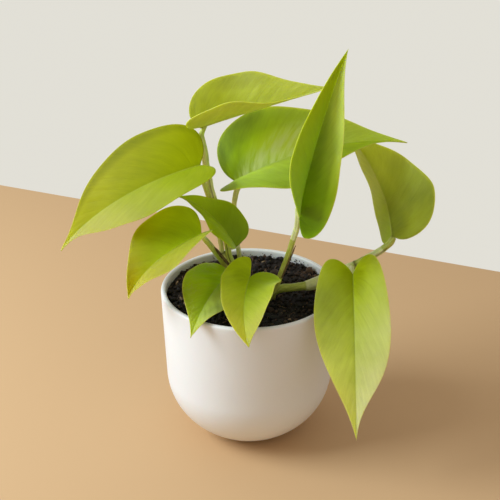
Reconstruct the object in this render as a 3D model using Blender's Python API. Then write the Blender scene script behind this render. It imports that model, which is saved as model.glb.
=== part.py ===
"""Potted neon pothos: a white pot of soil with ten heart-shaped leaves.

Every size below is in millimetres and every angle in degrees; MM turns a length into metres.
The pot stands on z = 0 with its axis on z, the viewer is on -y and +x is the viewer's right.
"""
import math

import bmesh
import bpy
from mathutils import Matrix, Vector, noise

MM = 0.001
GAP = 0.3                 # clearance between pieces that touch on the real plant

# Pot
LIP_Z = 98.0              # centre of the rounded lip
LIP_RADIUS = 2.1
RIM_RADIUS = 55.0         # outside, at the lip
WAIST_RADIUS = 53.0       # where the round bottom meets the straighter wall
WAIST_Z = 42.4
BOTTOM_HALF_HEIGHT = 47.5
WALL = 4.2
FLOOR = 5.0
POT_SEGMENTS = 48
INNER_LEVELS = (7.0, 10.5, 16.0, 23.0, 32.0, WAIST_Z, 60.0, 80.0)

# Soil
SOIL_Z = 94.3
SOIL_RELIEF = 0.7
SOIL_BUMP = 7.0           # distance between lumps
SOIL_SEGMENTS = 24
HOLE_FLOOR = 67.7

# Leaves
BLADE = 0.8               # thickness
MIDRIB = 0.6              # how far the midrib stands out below the blade, at its foot
MIDRIB_TAPER = 0.85       # share of that height lost by the tip
RIB_BLEND = 2.5           # beside the midrib the thickness is measured along the leaf's own up
WAVE = 0.7                # height of the waves along the edge
WAVES = 2.6               # how many of them from the foot to the tip
ROWS = (3, 4, 11)         # outline steps: notch, lobe, lobe to tip
COLUMNS = (0.0, 0.09, 0.38, 0.7, 1.0)
ROW_SWEEP = 1.25          # how the rows bend forward from the midrib, as the side veins do
LEAF_STEPS = 40           # steps along the midrib
LOBE_STEPS = 8            # steps behind its foot
LOBE_REACH = 0.3          # how far behind, as a share of the length
FLARE_REACH = 0.4         # share of the length over which the flare dies out
STALK_SEAT = 0.012        # share of the midrib that the stalk's end lies under

# Each leaf: the foot of its midrib, where the midrib heads and how it bends over its length
# (bend up or down, hook adds bend near the tip, swing to the left, twist about itself, roll of
# the whole blade), then left and right values: half width, fold up from the midrib, flare (fold
# added near the foot), curl across, lobe length, ear (how far out the lobe's end lies), belly
# (where the half is widest), and full and taper, which shape it down to the tip. Point says
# where along the length the drawn-out tip starts.
LEAVES = {
    "left": dict(
        foot=(-29.5, 3.0, 178.5), heading=181, rise=-16, length=111.0, bend=-37,
        hook=-4.5, swing=4, roll=23, twist=6, width=(31.5, 32.0), fold=(19, 24),
        flare=(7, 11), curl=(-18, -3), lobe=(10.0, 5.0), ear=(0.47, 0.38),
        belly=(0.25, 0.28), full=(0.58, 0.63), taper=(0.2, 0.18), point=0.71),
    "top": dict(
        foot=(-29.0, 18.0, 197.5), heading=-8, rise=21.5, length=82.0, bend=-6,
        hook=7, swing=-1, roll=-9, twist=-21, width=(27.5, 28.0), fold=(37, 34),
        flare=(7, -8), curl=(-5, 30), lobe=(5.5, 4.5), ear=(0.35, 0.37),
        belly=(0.25, 0.26), full=(0.52, 0.46), taper=(0.3, 0.19), point=0.7),
    "back": dict(
        foot=(-7.5, 14.0, 163.5), heading=1.5, rise=32.5, length=107.5, bend=-34,
        hook=-5, swing=-5.5, roll=0, twist=-6, width=(39.5, 32.0), fold=(35, 12),
        flare=(3, 23), curl=(9, -52), lobe=(5.0, 8.5), ear=(0.38, 0.41),
        belly=(0.2, 0.26), full=(0.46, 0.6), taper=(0.19, 0.08), point=0.68),
    "upright": dict(
        foot=(29.0, -22.0, 158.5), heading=-3, rise=80.5, length=100.5, bend=2,
        hook=-1.5, swing=-9.5, roll=-114, twist=30, width=(27.5, 21.0), fold=(47, 48),
        flare=(21, -5), curl=(-2, 12), lobe=(-5.5, 14.5), ear=(0.38, 0.3),
        belly=(0.25, 0.27), full=(0.4, 0.66), taper=(0.33, 0.27), point=0.76),
    "rear_right": dict(
        foot=(87.5, -1.0, 134.0), heading=91.5, rise=45, length=74.0, bend=-43,
        hook=-6, swing=1.5, roll=-104, twist=-9, width=(34.5, 25.5), fold=(23, 11),
        flare=(0, -4), curl=(9, -1), lobe=(5.0, 0.0), ear=(0.36, 0.34),
        belly=(0.24, 0.24), full=(0.43, 0.37), taper=(0.12, 0.38), point=0.83),
    "hanging": dict(
        foot=(62.5, -18.0, 116.5), heading=-92.5, rise=-22, length=103.0, bend=-56,
        hook=-0.5, swing=-2, roll=-5, twist=0, width=(21.5, 24.0), fold=(16, 14),
        flare=(13, 18), curl=(-10, -9), lobe=(11.5, 7.5), ear=(0.47, 0.45),
        belly=(0.35, 0.28), full=(0.72, 0.57), taper=(0.13, 0.26), point=0.71),
    "front": dict(
        foot=(0.5, -20.0, 115.5), heading=-104, rise=-11.5, length=53.5, bend=-19,
        hook=-13, swing=20.5, roll=-5, twist=-13, width=(21.5, 16.5), fold=(18, 42),
        flare=(-19, -15), curl=(7, -1), lobe=(6.5, 16.0), ear=(0.33, 0.36),
        belly=(0.22, 0.2), full=(0.74, 0.61), taper=(0.41, 0.39), point=0.78),
    "front_left": dict(
        foot=(-13.0, -4.5, 108.0), heading=-112, rise=9.5, length=60.5, bend=-41,
        hook=-1.5, swing=2, roll=2, twist=-6, width=(19.5, 21.0), fold=(3, 19),
        flare=(0, 2), curl=(-13, -13), lobe=(6.0, 10.5), ear=(0.42, 0.43),
        belly=(0.26, 0.27), full=(0.52, 0.54), taper=(0.26, 0.22), point=0.72),
    "low_left": dict(
        foot=(-28.5, -15.0, 140.0), heading=204.5, rise=-6.5, length=61.0, bend=-60,
        hook=-8, swing=-4.5, roll=3, twist=15, width=(25.5, 27.0), fold=(37, 29),
        flare=(13, 5), curl=(-37, -7), lobe=(3.0, 3.5), ear=(0.5, 0.52),
        belly=(0.27, 0.27), full=(0.62, 0.57), taper=(0.27, 0.29), point=0.74),
    "inner": dict(
        foot=(-8.5, -2.0, 127.0), heading=165, rise=65, length=49.5, bend=-53,
        hook=-5.5, swing=-2.5, roll=4, twist=1, width=(14.5, 19.0), fold=(17, 24),
        flare=(10, -4), curl=(-16, -3), lobe=(3.0, 0.0), ear=(0.41, 0.38),
        belly=(0.26, 0.25), full=(0.51, 0.44), taper=(0.23, 0.32), point=0.75),
}

# Stems: points along the middle and the radius at each of them.
STEM_LEFT = ((-8.5, 18, 68), (-8.5, 18, 96), (-9.8, 17.1, 102), (-11.2, 16.1, 108.6))
STEM_LEFT_RADII = (2.6, 2.5, 2.4, 2.2)
STEM_RIGHT = (
    (14.5, -7, 68), (14.5, -7, 95), (15.8, -7.3, 98.6), (19.5, -7.8, 101.6), (25.3, -8, 103.1),
    (32.7, -7, 104.4), (42, -5, 106.8), (50.1, -3, 108.9), (58.2, -1.5, 111.2), (63.7, -1, 113.8),
    (71.5, -1, 118.9))
STEM_RIGHT_RADII = (2.5, 2.5, 2.5, 2.5, 2.5, 2.8, 3.0, 2.8, 2.4, 2.1, 1.9)

# Stalks: the radii at the start and at the blade (or one at every point), then the points from
# the stem to a little below the blade; the end under the blade is worked out from the leaf.
STALKS = {
    "left": ((1.7, 1.3), (
        (-13.9, 17.4, 101.9), (-15.1, 17.3, 103.5), (-15.9, 16.7, 108.3), (-17.2, 16, 116.5),
        (-18.9, 16, 123.5), (-21.2, 16.5, 138.4), (-22.8, 15.5, 152.4), (-24.8, 13.5, 159.2),
        (-26.7, 10.5, 166.3), (-28.4, 6.8, 173.2))),
    "top": ((1.9, 1.2), (
        (-11.4, 16.1, 109.3), (-12.8, 16, 121.5), (-15, 16.6, 135.7), (-16.7, 17, 147),
        (-19.4, 17.2, 153.1), (-22.8, 17.2, 160.8), (-24.5, 17, 165.8), (-25.9, 16.7, 171.7),
        (-27.5, 16.7, 182), (-28.2, 17, 187.7), (-28.6, 17.5, 192.4))),
    "back": ((1.6, 1.3), (
        (-6.9, 17.7, 104.7), (-5.5, 18.1, 106.6), (-5.3, 17.9, 112), (-6.1, 17.2, 122.5),
        (-7.5, 17.5, 136.7), (-8.7, 17.3, 147), (-7.8, 16.3, 153.4), (-7.2, 15.2, 158.5))),
    "upright": ((1.6, 1.5, 1.5, 1.5, 1.55, 1.85, 1.9, 1.4), (
        (15.2, -9.9, 102.6), (16.4, -9.7, 105), (17.8, -10.3, 108.5), (19.5, -11.2, 112.6),
        (22.9, -14, 125), (26.2, -17, 137), (28.2, -19.5, 149.9))),
    "rear_right": ((1.8, 1.4), (
        (72.0, -1, 119.3), (78.6, -1, 124.1), (82.5, -1.2, 128.0))),
    "hanging": ((1.5, 1.3), (
        (63.1, -3.6, 114.0), (62.9, -6, 115), (62.7, -11, 115.6))),
    "front": ((1.5, 1.2), (
        (7, -4, 68), (7, -4, 95.5), (6.6, -6.5, 100.5), (5, -11.5, 106.5), (2.9, -16, 110.6))),
    "front_left": ((1.5, 1.2), (
        (-9.4, 14.2, 97.6), (-9.7, 12.3, 98.2), (-10.5, 7.5, 100.5), (-11.8, 1.5, 104.2))),
    "low_left": ((1.6, 1.3), (
        (-12.2, 14.8, 99.4), (-13.6, 13.5, 101.1), (-15.8, 12, 105.7), (-18.9, 10, 111.7),
        (-21.1, 5, 118.4), (-24.4, -2, 128.6), (-27, -9, 135.4))),
    "inner": ((1.3, 1.1), (
        (-7.2, 14.3, 101.0), (-6.2, 13.6, 102.8), (-5.7, 10.2, 107.2), (-5.8, 6, 114.8),
        (-6.3, 1.6, 121.8))),
}
STALK_SIDES = 8
STALK_STEP = 5.5          # distance between rings

# Dried sheaths: half width and half thickness, then points along the strip.
SHEATHS = {
    "left": ((1.3, 0.4), (
        (-12.2, 13.2, 106.2), (-14.0, 10.0, 110.6), (-16.2, 7.3, 114.6), (-18.3, 4.4, 119),
        (-20.3, 1.2, 124.2))),
    "right": ((0.75, 0.4), (
        (21.8, -10.6, 111.2), (24.1, -12.6, 119.9), (26.1, -13.9, 126.9), (28.4, -15.3, 134.2))),
}

COLOURS = {
    "ceramic": ((0.80, 0.79, 0.75), 0.42),
    "soil": ((0.016, 0.011, 0.007), 0.95),
    "stem": ((0.25, 0.31, 0.055), 0.5),
    "stalk": ((0.33, 0.40, 0.075), 0.5),
    "dried": ((0.095, 0.058, 0.03), 0.85),
}
LEAF_COLOURS = {
    "left": (0.34, 0.42, 0.010), "top": (0.39, 0.42, 0.016), "back": (0.23, 0.34, 0.008),
    "upright": (0.17, 0.26, 0.004), "rear_right": (0.19, 0.22, 0.006),
    "hanging": (0.30, 0.37, 0.020), "front": (0.27, 0.34, 0.010),
    "front_left": (0.17, 0.24, 0.010), "low_left": (0.27, 0.30, 0.006),
    "inner": (0.10, 0.15, 0.004),
}


def clear_scene():
    for item in list(bpy.data.objects):
        bpy.data.objects.remove(item, do_unlink=True)


def material(name, colour, roughness):
    mat = bpy.data.materials.new(name)
    mat.use_nodes = True
    shader = mat.node_tree.nodes["Principled BSDF"]
    shader.inputs["Base Color"].default_value = (*colour, 1.0)
    shader.inputs["Roughness"].default_value = roughness
    shader.inputs["Metallic"].default_value = 0.0
    return mat


def finished(name, bm, mat):
    """Turn a mesh in millimetres into an object in metres, facing out and shaded smooth."""
    bmesh.ops.recalc_face_normals(bm, faces=bm.faces)
    bmesh.ops.scale(bm, vec=(MM, MM, MM), verts=bm.verts)
    mesh = bpy.data.meshes.new(name)
    bm.to_mesh(mesh)
    bm.free()
    mesh.shade_smooth()
    mesh.set_sharp_from_angle(angle=math.radians(50))
    mesh.materials.append(mat)
    item = bpy.data.objects.new(name, mesh)
    bpy.context.collection.objects.link(item)
    return item


def bezier(p0, p1, p2, p3, t):
    s = 1.0 - t
    return tuple(s**3 * a + 3 * s * s * t * b + 3 * s * t * t * c + t**3 * d
                 for a, b, c, d in zip(p0, p1, p2, p3))


def smooth_path(points, step):
    """Points on one smooth curve through the given points, about a step apart."""
    pts = [Vector(p) for p in points]
    pts = [2 * pts[0] - pts[1]] + pts + [2 * pts[-1] - pts[-2]]
    path = []
    for i in range(1, len(pts) - 2):
        a, b, c, d = pts[i - 1:i + 3]
        count = max(1, round((c - b).length / step))
        for k in range(count):
            t = k / count
            path.append(0.5 * (2 * b + (c - a) * t + (2 * a - 5 * b + 4 * c - d) * t * t
                               + (3 * b - a - 3 * c + d) * t**3))
    path.append(pts[-2])
    return path


def swept(path, half_sizes, sides, side_hint=Vector((0.0, 0.0, 1.0))):
    """A closed bar along the path; half_sizes gives each ring's two half sizes."""
    bm = bmesh.new()
    rings = []
    up = side_hint
    for i, point in enumerate(path):
        ahead = path[min(i + 1, len(path) - 1)] - path[max(i - 1, 0)]
        ahead.normalize()
        up = up - ahead * up.dot(ahead)
        if up.length < 0.05:
            up = ahead.orthogonal()
        up.normalize()
        across = ahead.cross(up)
        wide, thick = half_sizes[i]
        ring = []
        for k in range(sides):
            angle = 2 * math.pi * k / sides
            ring.append(bm.verts.new(point + across * wide * math.cos(angle)
                                     + up * thick * math.sin(angle)))
        rings.append(ring)
    for low, high in zip(rings, rings[1:]):
        for k in range(sides):
            m = (k + 1) % sides
            bm.faces.new((low[k], low[m], high[m], high[k]))
    bm.faces.new(rings[0])
    bm.faces.new(rings[-1])
    return bm


def round_bar(points, radii, sides=STALK_SIDES, step=STALK_STEP):
    """A round bar through the points, with two end radii or one radius for every point."""
    last = len(points) - 1
    if len(radii) == 2:
        radii = [radii[0] + (radii[1] - radii[0]) * i / last for i in range(last + 1)]
    path = smooth_path([(*point, radius) for point, radius in zip(points, radii)], step)
    return swept([spot.to_3d() for spot in path], [(spot.w, spot.w) for spot in path], sides)


def turned(profile, segments):
    """A solid of revolution about z from (radius, height) pairs that start and end on the axis."""
    bm = bmesh.new()
    verts = [bm.verts.new((radius, 0.0, height)) for radius, height in profile]
    edges = [bm.edges.new(pair) for pair in zip(verts, verts[1:])]
    bmesh.ops.spin(bm, geom=verts + edges, cent=(0, 0, 0), axis=(0, 0, 1),
                   angle=2 * math.pi, steps=segments, use_merge=True)
    bmesh.ops.remove_doubles(bm, verts=bm.verts, dist=0.001)
    return bm


# Pot and soil
def outer_radius(z):
    if z >= WAIST_Z:
        return WAIST_RADIUS + (RIM_RADIUS - WAIST_RADIUS) * (z - WAIST_Z) / (LIP_Z - WAIST_Z)
    return WAIST_RADIUS * math.sqrt(1 - ((WAIST_Z - z) / BOTTOM_HALF_HEIGHT)**2)


def inner_radius(z):
    if z >= WAIST_Z:
        return outer_radius(z) - WALL
    ratio = (WAIST_Z - z) / (WAIST_Z - FLOOR)
    return (WAIST_RADIUS - WALL) * math.sqrt(max(0.0, 1 - ratio**2))


def pot():
    profile = [(0.0, 0.0)]
    for z in (0.0, 1.2, 4.5, 9.0, 14.5, 21.0, 28.0, 35.0, WAIST_Z, 60.0, 80.0):
        profile.append((outer_radius(z), z))
    lip_centre = RIM_RADIUS - LIP_RADIUS
    for angle in range(0, 181, 30):
        turn = math.radians(angle)
        profile.append((lip_centre + LIP_RADIUS * math.cos(turn), LIP_Z + LIP_RADIUS * math.sin(turn)))
    for z in reversed(INNER_LEVELS):
        profile.append((inner_radius(z), z))
    profile.append((0.0, FLOOR))
    mat = material("ceramic", *COLOURS["ceramic"])
    return finished("pot", turned(profile, POT_SEGMENTS), mat)


def soil_height(x, y):
    """Height of the lumpy soil surface above its mean."""
    spot = Vector((x / SOIL_BUMP, y / SOIL_BUMP, 0.0))
    return SOIL_RELIEF * (noise.noise(spot) + 0.6 * noise.noise(spot * 2.1))


def soil():
    profile = [(0.0, FLOOR + GAP)]
    for z in INNER_LEVELS + (SOIL_Z - 0.9,):
        profile.append((inner_radius(z) - GAP, z + GAP))
    for share in (0.96, 0.88, 0.78, 0.67, 0.56, 0.45, 0.33, 0.21, 0.1):
        profile.append(((inner_radius(SOIL_Z) - GAP) * share, SOIL_Z))
    profile.append((0.0, SOIL_Z))
    bm = turned(profile, SOIL_SEGMENTS)
    for vert in bm.verts:
        if vert.co.z > SOIL_Z - 0.1:
            vert.co.z += soil_height(vert.co.x, vert.co.y)
    body = finished("soil", bm, material("soil", *COLOURS["soil"]))
    holes = (
        (STEM_LEFT[0], STEM_LEFT_RADII[0]),
        (STEM_RIGHT[0], STEM_RIGHT_RADII[0]),
        (STALKS["front"][1][0], STALKS["front"][0][0]),
    )
    for number, (foot, radius) in enumerate(holes):
        hole = finished("stem_hole_%d" % number,
                        round_bar(((foot[0], foot[1], HOLE_FLOOR), (foot[0], foot[1], 99.0)),
                                  (radius + GAP, radius + GAP), sides=16, step=40.0),
                        body.data.materials[0])
        hole.hide_render = True
        hole.display_type = "WIRE"
        cut = body.modifiers.new("stem hole %d" % number, "BOOLEAN")
        cut.operation = "DIFFERENCE"
        cut.object = hole
    return body


# Leaves
def midrib_line(leaf):
    """Frames along the midrib: share of the length, point, and forward, right and up axes."""
    heading = math.radians(leaf["heading"])
    rise = math.radians(leaf["rise"])
    forward = Vector((math.cos(rise) * math.cos(heading), math.cos(rise) * math.sin(heading),
                      math.sin(rise)))
    right = Vector((math.sin(heading), -math.cos(heading), 0.0))
    right = Matrix.Rotation(-math.radians(leaf["roll"]), 3, forward) @ right
    up = right.cross(forward)
    first = Matrix((forward, right, up)).transposed()

    def march(direction, steps, reach):
        frame = first.copy()
        point = Vector(leaf["foot"])
        line = [(0.0, point.copy(), frame.copy())]
        share = reach / steps * direction
        for i in range(steps):
            middle = (i + 0.5) * share
            bend = leaf["bend"] + 3 * leaf["hook"] * max(middle, 0.0)**2
            turn = Vector((leaf["twist"], -bend, -leaf["swing"])) * math.radians(1.0) * share
            angle = turn.length
            half = frame @ Matrix.Rotation(angle / 2, 3, turn)
            point = point + half.col[0] * share * leaf["length"]
            frame = frame @ Matrix.Rotation(angle, 3, turn)
            line.append(((i + 1) * share, point.copy(), frame.copy()))
        return line

    behind = march(-1, LOBE_STEPS, LOBE_REACH)
    ahead = march(1, LEAF_STEPS, 1.0)
    return behind[:0:-1] + ahead


def frame_at(line, share):
    """Point, right and up axes on the midrib line at a share of the leaf's length."""
    share = min(max(share, line[0][0]), line[-1][0])
    for low, high in zip(line, line[1:]):
        if share <= high[0]:
            t = (share - low[0]) / (high[0] - low[0])
            point = low[1].lerp(high[1], t)
            right = low[2].col[1].lerp(high[2].col[1], t)
            up = low[2].col[2].lerp(high[2].col[2], t)
            return point, right, up
    return line[-1][1], line[-1][2].col[1], line[-1][2].col[2]


def half_outline(leaf, side):
    """Edge of one half in the flat: along, across, and the midrib share that each row starts at."""
    length = leaf["length"]
    width = leaf["width"][side]
    lobe = leaf["lobe"][side]
    ear = leaf["ear"][side] * width
    belly = leaf["belly"][side] * length
    full = leaf["full"][side] * length
    taper = leaf["taper"][side] * width
    rows = []
    for i in range(ROWS[0]):
        t = i / ROWS[0]
        edge = bezier((0, 0), (-0.3 * lobe, 0.17 * ear), (-lobe, 0.48 * ear), (-lobe, ear), t)
        rows.append((edge, 0.0))
    for i in range(ROWS[1]):
        t = i / ROWS[1]
        edge = bezier((-lobe, ear), (-lobe, 0.38 * ear + 0.62 * width), (0.04 * length, width),
                      (belly, width), t)
        rows.append((edge, 0.1 * t))
    for i in range(ROWS[2] + 1):
        t = i / ROWS[2]
        edge = bezier((belly, width), (full, width), (leaf["point"] * length, taper),
                      (length, 0), t)
        rows.append((edge, 0.1 + 0.9 * (0.75 * t + 0.25 * t * t)))
    return rows


def edge_wave(leaf, side, share, v):
    """Height of the wave in the edge of a half."""
    phase = 0.37 * sum(map(ord, leaf["name"])) + 1.9 * side
    fade = max(0.0, math.sin(math.pi * min(max(share, 0.0), 1.0)))
    return WAVE * v * v * fade * math.sin(2 * math.pi * WAVES * share + phase)


def on_blade(leaf, line, side, along, across, v):
    """Point of the blade's middle surface, from its place in the flat."""
    sign = 1 if side else -1
    width = leaf["width"][side]
    near = min(max(along / leaf["length"] / FLARE_REACH, 0.0), 1.0)
    fold = leaf["fold"][side] + leaf["flare"][side] * (1 - near)**2 * (1 + 2 * near)
    fold = math.radians(fold)
    curl = math.radians(leaf["curl"][side]) / width
    angle = fold + curl * across
    out = (math.sin(angle) - math.sin(fold)) / curl
    lift = (math.cos(fold) - math.cos(angle)) / curl
    point, right, up = frame_at(line, along / leaf["length"])
    lift += edge_wave(leaf, side, along / leaf["length"], v)
    return point + right * sign * out + up * lift, up


def blade(leaf, mat):
    """One leaf blade: both halves with the midrib standing out below."""
    line = midrib_line(leaf)
    points, ups, ribs, index, faces = [], [], [], {}, []

    def corner(side, v, edge, share):
        along = share * leaf["length"] + (edge[0] - share * leaf["length"]) * v**ROW_SWEEP
        across = edge[1] * v
        key = (round(along, 4), round(across, 4), side if across > 1e-6 else 2)
        if key not in index:
            index[key] = len(points)
            spot, up = on_blade(leaf, line, side, along, across, v)
            points.append(spot)
            ups.append((up, across))
            ribs.append(MIDRIB * (1 - MIDRIB_TAPER * share) if across < 1e-6 else 0.0)
        return index[key]

    for side in (0, 1):
        grid = []
        for edge, share in half_outline(leaf, side):
            grid.append([corner(side, v, edge, share) for v in COLUMNS])
        for low, high in zip(grid, grid[1:]):
            for k in range(len(COLUMNS) - 1):
                a, b, c, d = low[k], low[k + 1], high[k + 1], high[k]
                for tri in ((a, b, c), (a, c, d)):
                    if len(set(tri)) == 3:
                        faces.append(tri if side else tri[::-1])

    normals = [Vector() for _ in points]
    for tri in faces:
        a, b, c = (points[i] for i in tri)
        normal = (b - a).cross(c - a)
        for i in tri:
            normals[i] += normal
    bm = bmesh.new()
    top, bottom = [], []
    for i, point in enumerate(points):
        up, across = ups[i]
        normal = normals[i].normalized()
        if normal.dot(up) < 0:
            normal.negate()
        share = min(1.0, across / RIB_BLEND)
        way = (normal * share + up.normalized() * (1 - share)).normalized()
        top.append(bm.verts.new(point + way * BLADE / 2))
        bottom.append(bm.verts.new(point - way * (BLADE / 2 + ribs[i])))
    count = {}
    for tri in faces:
        bm.faces.new([top[i] for i in tri])
        bm.faces.new([bottom[i] for i in reversed(tri)])
        for a, b in zip(tri, tri[1:] + tri[:1]):
            count[frozenset((a, b))] = count.get(frozenset((a, b)), []) + [(a, b)]
    for pair in count.values():
        if len(pair) == 1:
            a, b = pair[0]
            bm.faces.new((top[b], top[a], bottom[a]))
            bm.faces.new((top[b], bottom[a], bottom[b]))
    return finished("leaf_" + leaf["name"], bm, mat)


def stalk_end(leaf, last, radius):
    """Where the stalk stops, just under the foot of the midrib."""
    line = midrib_line(leaf)
    point, right, up = frame_at(line, STALK_SEAT)
    way = (point - Vector(last)).normalized()
    tilt = math.sqrt(max(0.0, 1 - way.dot(up)**2))
    return point - up * (BLADE / 2 + MIDRIB + GAP + 0.1 + radius * tilt)


def stalk(name, mat):
    radii, points = STALKS[name]
    end = stalk_end(LEAVES[name], points[-1], radii[1])
    return finished("stalk_" + name, round_bar(points + (tuple(end),), radii), mat)


def sheath(name, mat):
    (wide, thick), points = SHEATHS[name]
    path = smooth_path(points, 3.0)
    last = len(path) - 1
    sizes = []
    for i in range(len(path)):
        taper = 1 - 0.75 * (i / last)**2
        sizes.append((wide * taper, thick * (1 - 0.3 * i / last)))
    return finished("dried_sheath_" + name, swept(path, sizes, 6, Vector((0.3, -1.0, 0.2))), mat)


def main():
    clear_scene()
    pot()
    soil()
    stem = material("stem", *COLOURS["stem"])
    finished("stem_left", round_bar(STEM_LEFT, STEM_LEFT_RADII), stem)
    finished("stem_right", round_bar(STEM_RIGHT, STEM_RIGHT_RADII), stem)
    stalk_green = material("stalk", *COLOURS["stalk"])
    dried = material("dried", *COLOURS["dried"])
    for name, leaf in LEAVES.items():
        leaf["name"] = name
        blade(leaf, material("leaf_" + name, LEAF_COLOURS[name], 0.4))
        stalk(name, stalk_green)
    for name in SHEATHS:
        sheath(name, dried)


if __name__ == "__main__":
    main()
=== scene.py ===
"""Looks of a potted neon pothos: waxy chartreuse leaves, grooved stalks, crumbly soil, satin white pot.

Lengths are in millimetres and angles in degrees unless a name says otherwise; MM turns a length
into metres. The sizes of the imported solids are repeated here, so that each finer piece keeps the
form and the place of the solid that it stands for. The viewer is on -y and +x is their right.
"""
import logging
import math
from dataclasses import dataclass
from enum import Enum
from functools import lru_cache
from typing import Sequence

import bpy
import numpy as np
from mathutils import Matrix, Vector, noise


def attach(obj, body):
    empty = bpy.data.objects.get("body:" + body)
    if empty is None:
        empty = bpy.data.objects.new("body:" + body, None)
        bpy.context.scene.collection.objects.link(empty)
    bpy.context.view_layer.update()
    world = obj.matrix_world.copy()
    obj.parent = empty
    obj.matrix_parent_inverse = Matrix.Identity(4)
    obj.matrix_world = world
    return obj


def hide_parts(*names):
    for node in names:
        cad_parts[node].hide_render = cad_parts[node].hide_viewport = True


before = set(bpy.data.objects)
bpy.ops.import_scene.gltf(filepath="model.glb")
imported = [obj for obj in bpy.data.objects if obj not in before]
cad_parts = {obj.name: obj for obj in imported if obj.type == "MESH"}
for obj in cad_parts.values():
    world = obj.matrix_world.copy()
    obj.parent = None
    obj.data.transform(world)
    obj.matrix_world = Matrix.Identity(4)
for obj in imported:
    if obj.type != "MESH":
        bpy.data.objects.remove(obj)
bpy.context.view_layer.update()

MM = 0.001
BODY = "root"
LOG = logging.getLogger("pothos")

Colour = tuple[float, float, float]
Point = tuple[float, float, float]
Link = "Number | bpy.types.NodeSocket | float | Colour"


class Number:
    """A number inside a finish; arithmetic on it adds Math nodes."""

    def __init__(self, graph: "Graph", socket: bpy.types.NodeSocket) -> None:
        """Keep the graph and the socket that carries the number."""
        self.graph = graph
        self.socket = socket

    def _math(self, operation: str, *values: "Number | float") -> "Number":
        """Add one Math node.

        Args:
            operation: the Math node's operation.
            values: its inputs in order.

        Returns:
            The node's result.
        """
        made = self.graph.node("ShaderNodeMath", {"operation": operation}, dict(enumerate(values)))
        return Number(self.graph, made.outputs[0])

    def __add__(self, other: "Number | float") -> "Number":
        """Sum."""
        return self._math("ADD", self, other)

    __radd__ = __add__

    def __sub__(self, other: "Number | float") -> "Number":
        """Difference."""
        return self._math("SUBTRACT", self, other)

    def __rsub__(self, other: float) -> "Number":
        """Difference from a plain number."""
        return self._math("SUBTRACT", other, self)

    def __mul__(self, other: "Number | float") -> "Number":
        """Product."""
        return self._math("MULTIPLY", self, other)

    __rmul__ = __mul__

    def __truediv__(self, other: "Number | float") -> "Number":
        """Quotient."""
        return self._math("DIVIDE", self, other)

    def __rtruediv__(self, other: float) -> "Number":
        """A plain number divided by this one."""
        return self._math("DIVIDE", other, self)

    def __pow__(self, other: float) -> "Number":
        """Power."""
        return self._math("POWER", self, other)

    def fraction(self) -> "Number":
        """The part after the decimal point."""
        return self._math("FRACT", self)

    def size(self) -> "Number":
        """The value without its sign."""
        return self._math("ABSOLUTE", self)

    def step(self, low: float, high: float) -> "Number":
        """Rise smoothly from 0 to 1.

        Args:
            low: where the rise starts.
            high: where it ends; below low, the value falls instead.

        Returns:
            A mask between 0 and 1.
        """
        swap = high < low
        made = self.graph.node(
            "ShaderNodeMapRange", {"interpolation_type": "SMOOTHSTEP"},
            {"Value": self, "From Min": min(low, high), "From Max": max(low, high)})
        mask = Number(self.graph, made.outputs["Result"])
        return 1.0 - mask if swap else mask


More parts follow.
